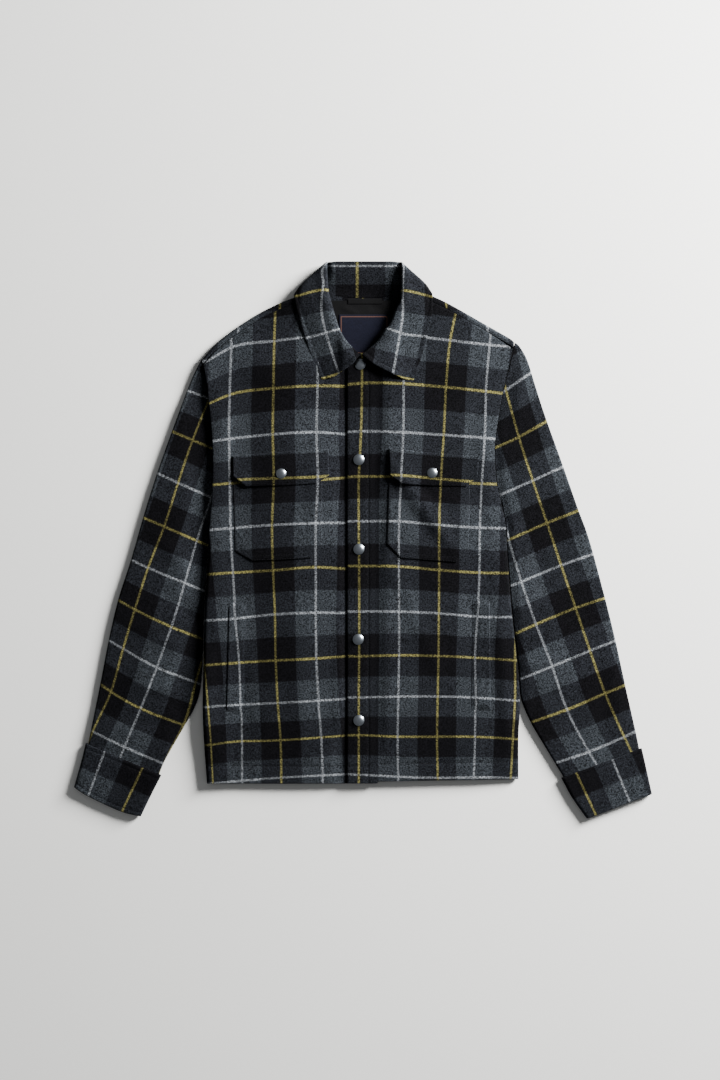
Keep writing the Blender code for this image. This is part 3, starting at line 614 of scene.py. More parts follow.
BODY_CREASES = [
    (40, 112, 133, -16, 11, 2.3), (24, 101, 116, -27, 10, -0.9), (45, -44, 117, -208, 11, 1.1),
    (-33, -95, -33, -265, 8, 1.2), (-33, 135, -33, 5, 8, -2.0), (-224, -150, -222, -290, 12, 3.0),
    (-196, -60, -190, -250, 9, 1.2), (-150, -40, -146, -190, 16, -0.9), (-178, -160, -168, -270, 12, -1.1),
    (-33, -275, -33, -345, 8, -2.0), (-66, 110, -70, 0, 12, 1.0), (-95, 170, -130, 60, 20, 1.2),
    (-170, 265, -100, 215, 24, 1.6), (-200, 150, -176, 215, 14, 1.1), (-120, -230, -160, -320, 16, 1.0),
    (-90, -90, -84, -300, 20, 1.3), (70, 200, 150, 150, 22, 1.2), (196, -110, 205, -290, 9, 1.3),
    (120, 235, 60, 170, 20, -1.0), (178, 60, 172, 160, 11, 1.2), (150, -60, 172, -200, 12, -1.1),
    (100, -250, 60, -320, 18, 1.0), (176, -240, 150, -320, 14, 1.0)]


def over_underlap(x, y):
    return under_back(x, y) + 2 * SHELL + 0.8 + 2.2 * near_neck(x, y)


def lofted(x, y):
    """Outer face of a panel with the air under it and its creases."""
    ends = (0.3 + 0.7 * smoothstep((y + 348) / 120)) * (1 - smoothstep((y - 230) / 90))
    right = np.cos(np.clip((x - PUFF_MIDDLE) / PUFF_HALF, -1, 1) * math.pi / 2) ** 2
    left = smoothstep((x - 9) / 28) * (1 - smoothstep((x - 32) / 185))
    return over_panel(x, y) + PUFF * ends * (right + left) + creased(x, y, BODY_CREASES)


def over_front_right(x, y):
    lap = smoothstep((x - PLACKET_LEFT + 10) / 10)
    return (1 - lap) * lofted(x, y) + lap * over_underlap(x, y)


def over_front_left(x, y):
    """Outer face of the left front: the placket's flat band, and the panel beyond its stitching."""
    band = over_underlap(x, y) + PLACKET_TOP
    band = band + 0.35 * np.cos((x - (PLACKET_LEFT + PLACKET_STITCH) / 2) / 10.0)
    off = smoothstep((x - PLACKET_STITCH - 1) / 26)
    return (1 - off) * band + off * lofted(x, y)


def groove(distance, depth, width=1.3):
    return -depth * np.exp(-(distance / width) ** 2)


def front_height(plan, over, columns, roll):
    """Outer face of a front with its folds at the side, its sunk seams and its stitched hem."""
    x, y = plan[..., 0], plan[..., 1]
    top = over(x, y)
    middle = (top + under_back(x, y)) / 2 + SEAM / 2
    across, from_seam = np.full(x.shape, FAR), np.full(x.shape, FAR)
    across[:, :columns] = from_start(plan[:, :columns], 1)
    from_seam[:, :columns] = from_end(plan[:, :columns], 0)
    top = top + roll * (1 - smoothstep(across / ROLL_WIDTH))
    fold = middle + (top - middle) * turned(across, FRONT_RADIUS)
    armhole = top - 0.5 * (1 - turned(across, FRONT_RADIUS))
    height = side_folded(y) * fold + (1 - side_folded(y)) * armhole
    from_hem = from_start(plan, 0)
    height = height + groove(from_hem - HEM_STITCH, 0.5) - 0.4 * (1 - turned(from_hem, 1.4))
    return height - 0.7 * (1 - turned(from_seam, 3.5))


def front_plan(side, armhole, shoulder, neck, hem):
    """Plan of a front between side, shoulder seam, neck and placket line, from side to centre."""
    neck_rows = spread(110, (0.0,), (0.0, 0.8, 2.0, 4.0))
    outer = arm_runs(side, armhole, 1 - SHOULDER_TURN / length(armhole), neck_rows)
    corner = hem[-1][0], neck[-1][1]
    middle = corner[0], side[-1][1]
    neck_end = 1 - SHOULDER_TURN / length(neck)
    inner = joined(path([hem[-1], middle], side_rows), path([middle, corner], arm_rows),
                   path(neck[::-1], neck_end * neck_rows))
    across = spread(length(hem), EDGE_STEPS, (0.0,))
    top = beside_shoulder(armhole, shoulder, neck, across, SHOULDER_TURN)
    up = from_start(outer[:, None], 0)[:, 0]
    return patch(outer, inner, path(hem, across), top, across, up / up[-1])


def with_strip(plan, columns, hem_y):
    """The plan with straight columns at these x added past its placket line, up to the neck."""
    rows = len(side_rows) + len(arm_rows) - 1
    strip = np.full((plan.shape[0], len(columns), 2), np.nan)
    strip[:rows, :, 0] = columns
    strip[:rows, :, 1] = plan[:rows, -1:, 1]
    ease = np.clip(1 - np.arange(rows) / len(HEM_STEPS), 0, 1)[:, None]
    strip[:rows, :, 1] += ease * (hem_y - plan[0, -1, 1])
    return np.concatenate([plan, strip], axis=1)


def right_sett(x, y):
    return sett_at(x, y, RIGHT_LENGTHWISE, 1, RIGHT_CROSSWISE)


def left_sett(x, y):
    return sett_at(x, y, LEFT_LENGTHWISE, 5, LEFT_CROSSWISE)


FRONTS = {"right": (over_front_right, right_sett), "left": (over_front_left, left_sett)}


def make_right_front():
    plan = front_plan(SIDE_RIGHT, ARMHOLE_RIGHT, SHOULDER_RIGHT, NECK_RIGHT, HEM_RIGHT)
    columns = plan.shape[1]
    plan = with_strip(plan, np.linspace(-22, 18, 11)[1:], HEM_RIGHT[0][1])
    height = front_height(plan, over_front_right, columns, ROLL["right"])
    sett = right_sett(plan[..., 0], plan[..., 1])
    piece = cloth("front_right", lifted(plan, height), RIGHT_WALL, sett, wool,
                  level=fold_line(plan, (0,)), seams=body_seams(plan, (0,)))
    finish_cloth(piece, "front_right")


def make_left_front():
    plan = front_plan(SIDE_LEFT, ARMHOLE_LEFT, SHOULDER_LEFT, NECK_LEFT, HEM_LEFT)
    columns = plan.shape[1]
    plan = with_strip(plan, STRIP, PLACKET_HEM)
    x, y = plan[..., 0], plan[..., 1]
    height = front_height(plan, over_front_left, columns, ROLL["left"])
    height = height + groove(x - PLACKET_STITCH, 0.6) - 1.3 * (1 - turned(x - PLACKET_LEFT, 2.6))
    parts = lifted(plan, height), left_sett(x, y), fold_line(plan, (0,)), body_seams(plan, (0,))
    grid, sett, level, seams = [part[:, ::-1] for part in parts]
    piece = cloth("front_left", grid, LEFT_WALL, sett, wool, level=level, seams=seams)
    finish_cloth(piece, "front_left")


def laid(node, table, heights, wall, sett, material=wool, pitch=2.6):
    """A piece that lies on others, from rows of share, top x, top y, bottom x and bottom y."""
    table = np.array(table, float)
    wide = np.linalg.norm(table[-1, 1:3] - table[0, 1:3])
    tall = np.linalg.norm(table[len(table) // 2, 1:3] - table[len(table) // 2, 3:5])
    edge = (0.0, 0.5, 1.2, 2.2)
    across = np.unique(np.concatenate([spread(wide, edge, edge, pitch), table[:, 0]]))
    up = spread(tall, edge, edge, pitch)[:, None, None]
    top = np.stack([np.interp(across, table[:, 0], table[:, k]) for k in (1, 2)], axis=1)
    bottom = np.stack([np.interp(across, table[:, 0], table[:, k]) for k in (3, 4)], axis=1)
    plan = (1 - up) * bottom[None] + up * top[None]
    near = [from_start(plan, 1), from_end(plan, 1), from_start(plan, 0), from_end(plan, 0)]
    height = heights(plan[..., 0], plan[..., 1], near)
    counts = None if sett is None else sett(plan[..., 0], plan[..., 1])
    piece = cloth(node, lifted(plan, height), wall, counts, material, upright=True)
    finish_cloth(piece, node)


make_right_front()
make_left_front()
facing_edges = ((0.0, PLACKET_LEFT + 1.5), (1.0, PLACKET_RIGHT - 1))
laid("placket_facing", [(share, x, 258, x, PLACKET_HEM) for share, x in facing_edges],
     lambda x, y, near: over_underlap(x, y) + 1.05, FACING_WALL, left_sett,
     pitch=8.0)

# The sleeves
# Each is one tube of the wool, set into the armhole with its head lightly gathered and pressed flat,
# with its underarm seam along the inner edge. Soft cross folds gather at the elbow and above the cuff.

SLEEVE_OUT_RIGHT = [
    (-229.9, 257.3), (-245, 226), (-268, 165), (-291, 101), (-311, 38), (-330, -28), (-348, -84),
    (-361, -139), (-374, -206), (-387, -270), (-391, -290)]
SLEEVE_IN_RIGHT = [
    (-219.8, 0), (-221.7, -28), (-224.6, -72), (-226.8, -114), (-227.8, -156), (-230, -198), (-234, -223),
    (-243, -245), (-255, -266), (-281, -312), (-290, -333)]
SLEEVE_OUT_LEFT = [
    (216, 281), (223, 275), (234, 255), (246, 217), (260, 174), (283, 110), (305, 47), (322, 0), (344, -81),
    (359, -142), (373, -206), (388, -273), (393, -297)]
SLEEVE_IN_LEFT = [
    (204.8, 0), (206.4, -28), (209.4, -67), (212.8, -108), (216.8, -142), (221.8, -190), (225, -226),
    (239, -260), (261, -297.5), (285, -337)]
SLEEVE_TOP = 2 * SHELL + 0.8
SLEEVE_WALL = 1.6
LOWER_RADIUS = 4.2
UPPER_RADIUS = 2.8
SOFT_RADIUS = 32.0
ARM_TURN = math.radians(19.5)
ARM_RIGHT = {"shoulder": (-229, 257), "side": -1}
ARM_LEFT = {"shoulder": (215, 281), "side": 1}
SLEEVE_RIGHT_LENGTHWISE = [
    (-640, -20, 28, 77, 138), (-557, -24, 30, 80, 142), (-489, -22, 36, 84, 149), (-425, -25, 32, 86, 144),
    (-366, -27, 29, 86, 142), (-305, -28, 27, 83, 138), (-243, -27, 29, 79, 134), (-179, -28, 27, 78, 133),
    (-113, -28, 26, 77, 132), (-60, -27, 28, 78, 133)]
SLEEVE_RIGHT_CROSSWISE = [
    (-5, -49, -111, -174, -240, -302, -361, -418, -475, -545, -608),
    (28, -49, -113, -177, -242, -305, -367, -424.5, -486.5, -550, -612),
    (84, -50, -116, -181, -246, -308, -373, -434, -497, -556.5, -618),
    (140, -51, -118, -183, -249, -311, -375, -436, -499, -560, -622)]
SLEEVE_LEFT_LENGTHWISE = [
    (-640, -24, 33, 82, 136), (-581, -18, 40, 95, 150), (-513, -14, 45, 104, 162), (-449, -14, 45, 103, 162),
    (-384, -14, 44, 105, 163), (-321, -15, 43, 104, 162), (-257, -16, 42, 101, 160), (-195, -17, 41, 97, 155),
    (-129, -19, 39, 94, 152), (-61, -24, 34, 90, 148)]
SLEEVE_LEFT_CROSSWISE = [
    (-7, -49, -121, -190, -256, -321, -386, -447, -511, -576, -640),
    (42, -62, -129.5, -194, -257.5, -321, -385, -449, -513, -581, -645),
    (103, -75, -133, -198.5, -262, -324, -388, -452, -517, -584, -648),
    (150, -80, -134, -200, -264, -326, -392, -454, -517, -583, -647)]
SLEEVE_RIGHT_CREASES = [
    (14, -70, 60, -150, 14, 1.4), (40, -150, 84, -200, 14, -1.0), (30, -260, 95, -300, 12, 1.3),
    (50, -330, 130, -350, 11, -1.3), (20, -390, 110, -395, 14, 1.4), (60, -470, 145, -455, 10, 1.3),
    (20, -520, 60, -450, 12, -1.2), (80, -525, 135, -500, 9, -1.2), (20, -560, 60, -530, 9, 1.0)]
SLEEVE_LEFT_CREASES = [
    (4, -40, 30, -100, 10, 1.4), (30, -60, 60, -130, 10, -1.1), (40, -190, 100, -230, 16, 1.3),
    (10, -300, 110, -330, 14, -1.2), (60, -370, 135, -360, 12, 1.5), (90, -450, 155, -430, 10, 1.4),
    (100, -490, 150, -485, 9, -1.3), (20, -470, 40, -560, 12, 1.4), (60, -500, 90, -570, 14, 1.0)]


def in_arm(x, y, arm):
    """Distance across a sleeve towards the body, and up it from the shoulder point."""
    right, up = x - arm["shoulder"][0], y - arm["shoulder"][1]
    across = -arm["side"] * right * math.cos(ARM_TURN) - up * math.sin(ARM_TURN)
    return across, -arm["side"] * right * math.sin(ARM_TURN) + up * math.cos(ARM_TURN)


def tube(name, plan, top, lower_radius, upper_radius, soft, wall, relief, sett, mirrored):
    """A flattened tube from its plan, rows along it and columns from its outer to its inner edge."""
    edge = np.minimum(from_start(plan, 1), from_end(plan, 1))
    half = top / 2
    rise = (1 - soft) * turned(edge, upper_radius) + soft * turned(edge, SOFT_RADIUS)
    upper = lifted(plan, half + half * rise + relief * turned(edge, 12.0))
    lower = lifted(plan, half - half * turned(edge, lower_radius))
    ends = np.zeros(plan.shape)
    for row in (0, -1):
        ends[row] = across_line(plan[row])
    pairs = (upper, lower), (ends, ends), (sett, sett)
    parts = [np.concatenate([a, b[:, -2:0:-1]], axis=1) for a, b in pairs]
    grid, seams, counts = parts if mirrored else [part[:, ::-1] for part in parts]
    return cloth(name, grid, wall, counts, wool, closed=True, seams=seams)


def make_sleeve(side, outer, inner, armhole, clear, arm, charts, creases, dip, soft):
    """A sleeve whose top dips beside the body: dip is how deep, how far level and how wide."""
    across = spread(170, EDGE_STEPS, EDGE_STEPS, 4.6)
    up = spread(600, (0.0, 1.0, 2.4, 4.2, 6.5, 9.5), (0.0, 1.0, 2.4, 4.2, 6.5))
    head = path(armhole[::-1], across) + np.array([clear, 0.0])
    head[0], head[-1] = outer[0], inner[0]
    plan = patch(path(outer, up), path(inner, up), head, path([outer[-1], inner[-1]], across), across, up)
    x, y = plan[..., 0], plan[..., 1]
    from_head, from_cuff = from_start(plan, 0), from_end(plan, 0)
    c, b = in_arm(x, y, arm)
    deep, level, wide = dip
    level_to = level * (1 + smoothstep((-130 - y) / 90))
    beside = np.maximum(0, -side_distance(x, y))
    near_body = (1 - smoothstep((beside - level_to) / wide)) * (1 - smoothstep((y - 190) / 60))
    top = SLEEVE_TOP - 0.5 * (1 - smoothstep(from_cuff / 14)) - deep * near_body
    relief = creased(c, b, creases) * smoothstep(from_head / 20) * smoothstep(from_cuff / 12)
    piece = tube("sleeve_" + side, plan, top, LOWER_RADIUS, UPPER_RADIUS, soft, SLEEVE_WALL, relief,
                 sett_at(c, b, charts[0], 0, charts[1]), side == "left")
    finish_cloth(piece, "sleeve_" + side)


make_sleeve("right", SLEEVE_OUT_RIGHT, SLEEVE_IN_RIGHT, ARMHOLE_RIGHT, -0.6, ARM_RIGHT,
            (SLEEVE_RIGHT_LENGTHWISE, SLEEVE_RIGHT_CROSSWISE), SLEEVE_RIGHT_CREASES, (3.2, 12.0, 34.0), 0.0)
make_sleeve("left", SLEEVE_OUT_LEFT, SLEEVE_IN_LEFT, ARMHOLE_LEFT, 1.2, ARM_LEFT,
            (SLEEVE_LEFT_LENGTHWISE, SLEEVE_LEFT_CROSSWISE), SLEEVE_LEFT_CREASES, (2.0, 0.0, 14.0), 0.18)

# The cuffs
# Bands 57 mm deep and firmer than the sleeves, which they overhang by 4 mm. They are cut with the
# check's black band along the seam, edge-stitched all round and closed underneath.

CUFF = 3.8
CUFF_WALL = 3.0
CUFF_STITCH = 6.0
CUFF_STEPS = (0.0, 0.5, 1.2, 2.2, 3.6, 5.0, 6.0, 7.0)
CUFF_CREASES = [(30, -600, 50, -660, 9, 0.5), (90, -590, 100, -650, 10, -0.5)]
CUFF_OUT_RIGHT = [(-394.5, -288.9), (-400, -312), (-411, -351)]
CUFF_IN_RIGHT = [(-287, -334.7), (-301, -362), (-316, -393)]
CUFF_END_RIGHT = [(-411, -351), (-391, -364), (-346, -385), (-316, -393)]
CUFF_OUT_LEFT = [(396.5, -296.1), (402, -320), (411, -361)]
CUFF_IN_LEFT = [(282, -338.5), (297, -366), (318, -396)]
CUFF_END_LEFT = [(411, -361), (379, -373), (332, -391), (318, -396)]
CUFF_RIGHT_LENGTHWISE = [(-650, -3, 55, 107, 165), (-570, -2, 56, 115, 173)]
CUFF_RIGHT_CROSSWISE = [(20, -565.5, -641, -703), (140, -573, -648.5, -710.5)]
CUFF_LEFT_LENGTHWISE = [(-680, 5, 63, 114, 172), (-600, 9, 67, 122, 180)]
CUFF_LEFT_CROSSWISE = [(20, -594, -681, -745), (140, -596, -683, -747)]


def make_cuff(side, outer, inner, end, arm, lengthwise, crosswise):
    across = spread(115, EDGE_STEPS, EDGE_STEPS, 3.4)
    up = spread(62, CUFF_STEPS, CUFF_STEPS, 3.4)
    seam = path([outer[0], inner[0]], across)
    plan = patch(path(outer, up), path(inner, up), seam, path(end, across), across, up)
    near_end, near_seam = from_end(plan, 0), from_start(plan, 0)
    top = 2 * CUFF + 0.3 - 0.5 * (1 - turned(near_end, 1.6)) - 0.6 * (1 - turned(near_seam, 2.0))
    relief = groove(near_end - CUFF_STITCH, 0.5) + groove(near_seam - CUFF_STITCH, 0.5)
    c, b = in_arm(plan[..., 0], plan[..., 1], arm)
    relief = relief + creased(c, b, CUFF_CREASES)
    sett = sett_at(c, b, lengthwise, 1, crosswise, 9)
    piece = tube("cuff_" + side, plan, top, 4.7, 4.0, 0.0, CUFF_WALL, relief, sett, side == "left")
    finish_cloth(piece, "cuff_" + side)


make_cuff("right", CUFF_OUT_RIGHT, CUFF_IN_RIGHT, CUFF_END_RIGHT, ARM_RIGHT, CUFF_RIGHT_LENGTHWISE,
          CUFF_RIGHT_CROSSWISE)
make_cuff("left", CUFF_OUT_LEFT, CUFF_IN_LEFT, CUFF_END_LEFT, ARM_LEFT, CUFF_LEFT_LENGTHWISE,
          CUFF_LEFT_CROSSWISE)

# The collar
# A stand sewn to the neck and a fall turned down over it. Laid flat, the fall's back runs under the
# shirt's back and its pointed leaves lie on the fronts, edge-stitched 7 mm in, and the stand's inner
# side shows behind the neck.

NOSE = 4.8
FOLD_RIGHT = [(-51, 395), (-49, 356), (-44, 335), (-38, 314), (-32, 297), (-22, 281), (-4.5, 262)]
FOLD_LEFT = [(54, 395), (54, 361), (52, 340), (45, 325), (39, 309), (29, 296), (19, 281), (-1.5, 262)]
LEAF_RIGHT = [(-98.5, 349), (-94, 325), (-85, 294), (-76, 267), (-66, 240), (-59, 227)]
LEAF_LEFT = [(98, 351), (99, 339), (98, 320), (91, 288), (82, 255), (72, 226)]
LEAF_FRONT_RIGHT = [(-4.5, 262), (-14, 249.5), (-23, 243), (-32, 237), (-44, 230), (-59, 227)]
LEAF_FRONT_LEFT = [(-1.5, 262), (8.5, 253), (22, 244.5), (46, 233), (59, 227.5), (72, 226)]
TURN_RIGHT = [(-51, 395), (-58, 390), (-87, 364), (-98.5, 349)]
TURN_LEFT = [(54, 395), (61, 389), (87, 366), (98, 351)]
FALL_BACK_RIGHT = [(-98.5, 349), (-78, 334), (-45, 325), (1.5, 323)]
FALL_BACK_LEFT = [(98, 351), (79, 336), (45, 326), (1.5, 323)]
STAND_TOP_RIGHT = [(-54.5, 389), (-54, 356), (-48.5, 333), (-42.5, 312), (-38, 300)]
STAND_TOP_LEFT = [(57.8, 389), (58, 360), (56, 338), (49.5, 323), (43, 307)]
STAND_END = 0.7
STAND_WALL = 1.6
FALL_WALL = 2.0
FALL_RADIUS = 6.5
STAND_RADIUS = 4.8
LEAF_STITCH = 7.0
LEAF_LIFT = 2.6
LEAF_ROLL = 2.8
FOLD_RISE = 1.0
BACK_RISE = 8.0
FRONT_LIFT = 1.0
SNAP_LIFT = 2.2
LEAF_RIGHT_LENGTHWISE = [
    (238, -97, -35, 27), (270, -107, -45.5, 17), (291, -113, -52, 11), (315, -119, -57.5, 5),
    (339, -120, -59, 4), (363, -117, -56, 7), (383, -119, -57.5, 5), (395, -113, -51, 11)]
LEAF_RIGHT_CROSSWISE = [(-96, 405, 345, 283, 222), (-57, 415, 353.5, 292, 229), (-30, 415, 352, 300, 237)]
LEAF_LEFT_LENGTHWISE = [
    (238, -19, 43, 105), (267, -14, 48, 110), (292, -9, 52.5, 114), (315, -6, 56, 118), (348, -6, 56, 118),
    (391, -5, 57, 119)]
LEAF_LEFT_CROSSWISE = [(35, 415, 350, 299, 233.5), (55, 415, 352.5, 292.5, 230), (95, 405, 345, 288, 223)]
# The third line sits 80.5 mm past the yellow one rather than one 62 mm band, so the black band reaches
# further right over the stand's right inner side, where shade falls: painted shade laid over the real check.
STAND_LENGTHWISE = [(y, -70, -8.5, 72) for y in (330, 395)]
STAND_CROSSWISE = [(x, 388.6, 338, 298) for x in (-50, 50)]


def over_fronts(x, y):
    """Top of the fronts under the collar, which spans the steps at both edges of the placket."""
    lap = smoothstep((x - PLACKET_LEFT + 16) / 13) * (1 - smoothstep((x - PLACKET_RIGHT - 16) / 26))
    placket = over_underlap(x, y) + PLACKET_TOP + 0.9
    return lap * placket + (1 - lap) * over_panel(x, y)


def fall_drop(distance, y):
    """How far the fall turns down at its fold, which has a stand under it down to the front neck."""
    return NOSE * (1 - turned(distance, 3.4)) * smoothstep((y - 266) / 18)


def leaf_relief(plan):
    """The stitched edge of a leaf, its lift off the front, and its roll down to its edge."""
    x, y = plan[..., 0], plan[..., 1]
    from_fold, outer, front_edge = from_start(plan, 0), from_end(plan, 0), from_end(plan, 1)
    relief = groove(outer - LEAF_STITCH, 0.55) + groove(front_edge - LEAF_STITCH, 0.55)
    relief = relief - 0.9 * (1 - turned(outer, 2.6)) - 0.9 * (1 - turned(front_edge, 2.6))
    low_down = 1 - smoothstep((y - 345) / 40)
    relief = relief + LEAF_LIFT * smoothstep(from_fold / 12) * low_down
    relief = relief - LEAF_ROLL * (1 - smoothstep(outer / 32)) * low_down
    fold_rise = FOLD_RISE * (1 + 2 * smoothstep((y - 305) / 35))
    relief = relief + fold_rise * np.exp(-((from_fold - 5) / 14) ** 2)
    relief = relief + FRONT_LIFT * np.exp(-(front_edge / 12) ** 2)
    return relief + SNAP_LIFT * np.exp(-(((x + 4) / 15) ** 2 + ((y - 252) / 13) ** 2))


def band(name, quarters, up, radius, top_of, low, drop_at, wall, reach, sett_of, is_fall):
    """A band round the flattened neck: over the fronts, round the two sides and under the back."""
    fold = (0.0, 0.6, 1.4, 2.6, 4.2, 6.4)
    across_front = spread(reach, fold, (0.0, 0.6, 1.4, 2.6, 5.5, 6.5, 7.5, 8.5), 3.6)
    across_back = spread(reach * 0.7, fold, (0.0,), 3.6)
    sheets, counts = [], []
    for front, back, turn, end, centre in quarters:
        for edges, last, across, sign in ((front, end, across_front, 1), (back, centre, across_back, -1)):
            first, second = [path(edge, across) for edge in edges]
            plan = patch(path(turn, up), path(last, up), first, second, across, up)
            x, y = plan[..., 0], plan[..., 1]
            top, from_turn = top_of(x, y), from_start(plan, 1)
            half = ((top - low) / 2 - drop_at(from_start(plan, 0), y)) * turned(from_turn, radius)
            height = (top + low) / 2 + sign * half
            if sign < 0:
                height = height + BACK_RISE * smoothstep((y - 346) / 50) * smoothstep(from_turn / 16)
            elif is_fall:
                height = height + leaf_relief(plan)
            sheets.append(lifted(plan, height))
            counts.append(sett_of(x, y))
    order = ((0, slice(None, None, -1)), (1, slice(1, None)), (3, slice(-2, None, -1)), (2, slice(1, None)))
    grid = np.concatenate([sheets[k][:, part] for k, part in order], axis=1)
    sett = np.concatenate([counts[k][:, part] for k, part in order], axis=1)
    level = np.zeros(grid.shape[:2])
    if is_fall:
        level[0] = smoothstep((grid[0, :, 1] - 266) / 18)
    return cloth(name, grid, wall, sett, wool, level=level)


def leaf_sett(x, y):
    if x.mean() < 0:
        return sett_at(x, y, LEAF_RIGHT_LENGTHWISE, 1, LEAF_RIGHT_CROSSWISE)
    return sett_at(x, y, LEAF_LEFT_LENGTHWISE, 1, LEAF_LEFT_CROSSWISE)


def stand_sett(x, y):
    return sett_at(x, y, STAND_LENGTHWISE, 0, STAND_CROSSWISE)


def make_fall():
    centre = [(1.5, 395), (1.5, 323)]
    quarters = [
        ((FOLD_RIGHT, LEAF_RIGHT), ([FOLD_RIGHT[0], centre[0]], FALL_BACK_RIGHT), TURN_RIGHT,
         LEAF_FRONT_RIGHT, centre),
        ((FOLD_LEFT, LEAF_LEFT), ([FOLD_LEFT[0], centre[0]], FALL_BACK_LEFT), TURN_LEFT,
         LEAF_FRONT_LEFT, centre)]
    up = spread(70, (0.0, 0.3, 0.8, 1.5, 2.4, 3.4, 4.8, 7.0),
                (0.0, 0.6, 1.4, 2.6, 4.5, 5.8, 6.6, 7.4, 8.3), 3.6)
    piece = band("collar_fall", quarters, up, FALL_RADIUS, lambda x, y: over_fronts(x, y) + LAY + FALL, 0.0,
                 fall_drop, FALL_WALL, 150, leaf_sett, True)
    finish_cloth(piece, "collar_fall")


def make_stand():
    centre = [(1.5, 394.2), (1.5, 344.5)]
    quarters = []
    for top, neck, inward, back_seam in (
            (STAND_TOP_RIGHT, NECK_RIGHT, 0.9, [(-59.8, 356.4), (-47, 349.6), (-26, 345.6), centre[1]]),
            (STAND_TOP_LEFT, NECK_LEFT, -0.9, [(63.8, 357.4), (50, 349.6), (28, 345.6), centre[1]])):
        seam = path(neck, STAND_END * np.linspace(0, 1, 9)) + (inward, 0.3)
        seam[0] = back_seam[0]
        back_top = [top[0], (top[0][0] * 0.9, 393.6), centre[0]]
        quarters.append(((top, seam), (back_top, back_seam), [top[0], back_seam[0]],
                         [top[-1], tuple(seam[-1])], centre))
    piece = band("collar_stand", quarters, np.linspace(0, 1, 14), STAND_RADIUS, over_panel,
                 FALL + LAY + SEAM, lambda distance, y: 0.0 * distance, STAND_WALL, 110, stand_sett, False)
    finish_cloth(piece, "collar_stand")


make_fall()
make_stand()

# The chest pockets
# Patch pockets with cut corners, double-stitched round, under flaps of the same shape. The flaps hang
# a little longer than their seam and are snapped shut.

PATCH = 1.3
PATCH_WALL = 1.2
POCKET_STITCHES = (1.5, 7.0)
FLAP_STITCH = 6.0
CORNER_LIFT = 3.0
CORNER_REACH = (38, 12)
FLAP_DROP = {"right": 4.3, "left": 2.2}
POCKETS = {
    "right": [(0.0, -185, 100, -182, -16), (0.2, -160, 101, -157, -30), (0.5, -121, 102, -115, -28.5),
              (0.85, -77, 103, -74, -26), (1.0, -58, 104, -58, -10)],
    "left": [(0.0, 37, 107, 34, -6), (0.17, 57, 106, 54, -26), (0.5, 94, 105, 92, -29),
             (0.85, 134, 103, 132, -32), (1.0, 152, 102, 150, -10)],
}
FLAPS = {
    "right": [(0.0, -185, 119, -184, 90), (0.14, -166, 121, -166, 75.5), (0.5, -117, 125, -117, 76.5),
              (0.87, -66, 128, -66, 79.5), (1.0, -49, 129, -48, 92)],
    "left": [(0.0, 37, 130, 38, 92), (0.14, 55, 128, 55, 79), (0.5, 101, 123, 100, 76.5),
             (0.86, 147, 120, 146, 75.5), (1.0, 165, 119, 162, 89)],
}
POCKET_CREASES = [(50, 70, 110, 10, 12, 0.9), (70, 80, 130, 40, 10, -0.8), (-160, 60, -90, 20, 16, 0.6),
                  (-170, 10, -110, 40, 12, -0.5)]


def stitched_edges(near, rows):
    """Soft edges and stitch grooves along the sides and the bottom."""
    closest = np.minimum(np.minimum(near[0], near[1]), near[2])
    height = -0.9 * (1 - turned(np.minimum(closest, near[3]), 2.2))
    for row in rows:
        height = height + groove(closest - row, 0.35, 1.1)
    return height


def over_pocket(over, x, y):
    return over(x, y) + LAY + PATCH + creased(x, y, POCKET_CREASES)


def make_pocket(side, over, sett):
    def pocket_top(x, y, near):
        return over_pocket(over, x, y) + stitched_edges(near, POCKET_STITCHES)

    laid("chest_pocket_" + side, POCKETS[side], pocket_top, PATCH_WALL, sett)


def make_flap(side, over, sett):
    corner_x, corner_y = FLAPS[side][0][3] + 4, FLAPS[side][0][4] - 8

    def flap_top(x, y, near):
        loft = 0.5 * np.sin(np.clip(near[2] / (near[2] + near[3] + 1e-6), 0, 1) * math.pi)
        beside = ((x - corner_x) / CORNER_REACH[0]) ** 2, ((y - corner_y) / CORNER_REACH[1]) ** 2
        corner = CORNER_LIFT * np.exp(-beside[0] - beside[1])
        return over(x, y) + 2 * (LAY + PATCH) + loft + corner + stitched_edges(near, (FLAP_STITCH,)) - 0.4

    laid("pocket_flap_" + side, FLAPS[side], flap_top, PATCH_WALL,
         lambda x, y: sett(x, y - FLAP_DROP[side]))


for side, (over, sett) in FRONTS.items():
    make_pocket(side, over, sett)
    make_flap(side, over, sett)

# The hand pockets
# Slanted slits at the sides, each under a 25 mm welt that is stitched along its inner edge and barred
# at both ends, and open along its outer edge.

WELTS = {
    "right": [(0.0, -190, -88, -194, -245), (1.0, -165, -89, -169, -245)],
    "left": [(0.0, 156, -84, 154, -241), (1.0, 180, -85, 181, -241)],
}


def make_welt(side, over, sett):
    opening, inner, shift = (0, 1, 1.0) if side == "right" else (1, 0, -1.0)

    def welt_top(x, y, near):
        rise = smoothstep((near[inner] + 2) / 12) * smoothstep((np.minimum(near[2], near[3]) + 1) / 9)
        return over(x, y) + 0.3 + (LAY + PATCH) * rise - 0.9 * (1 - turned(near[opening], 2.2)) * rise

    laid("hand_pocket_welt_" + side, WELTS[side], welt_top, PATCH_WALL, lambda x, y: sett(x + shift, y))


for side, (over, sett) in FRONTS.items():
    make_welt(side, over, sett)

# The neck lining, label and hanger loop
# A plain black lining inside the back neck, with a navy woven label in a thin copper border sewn on
# it, and a black tape loop under the neck seam.

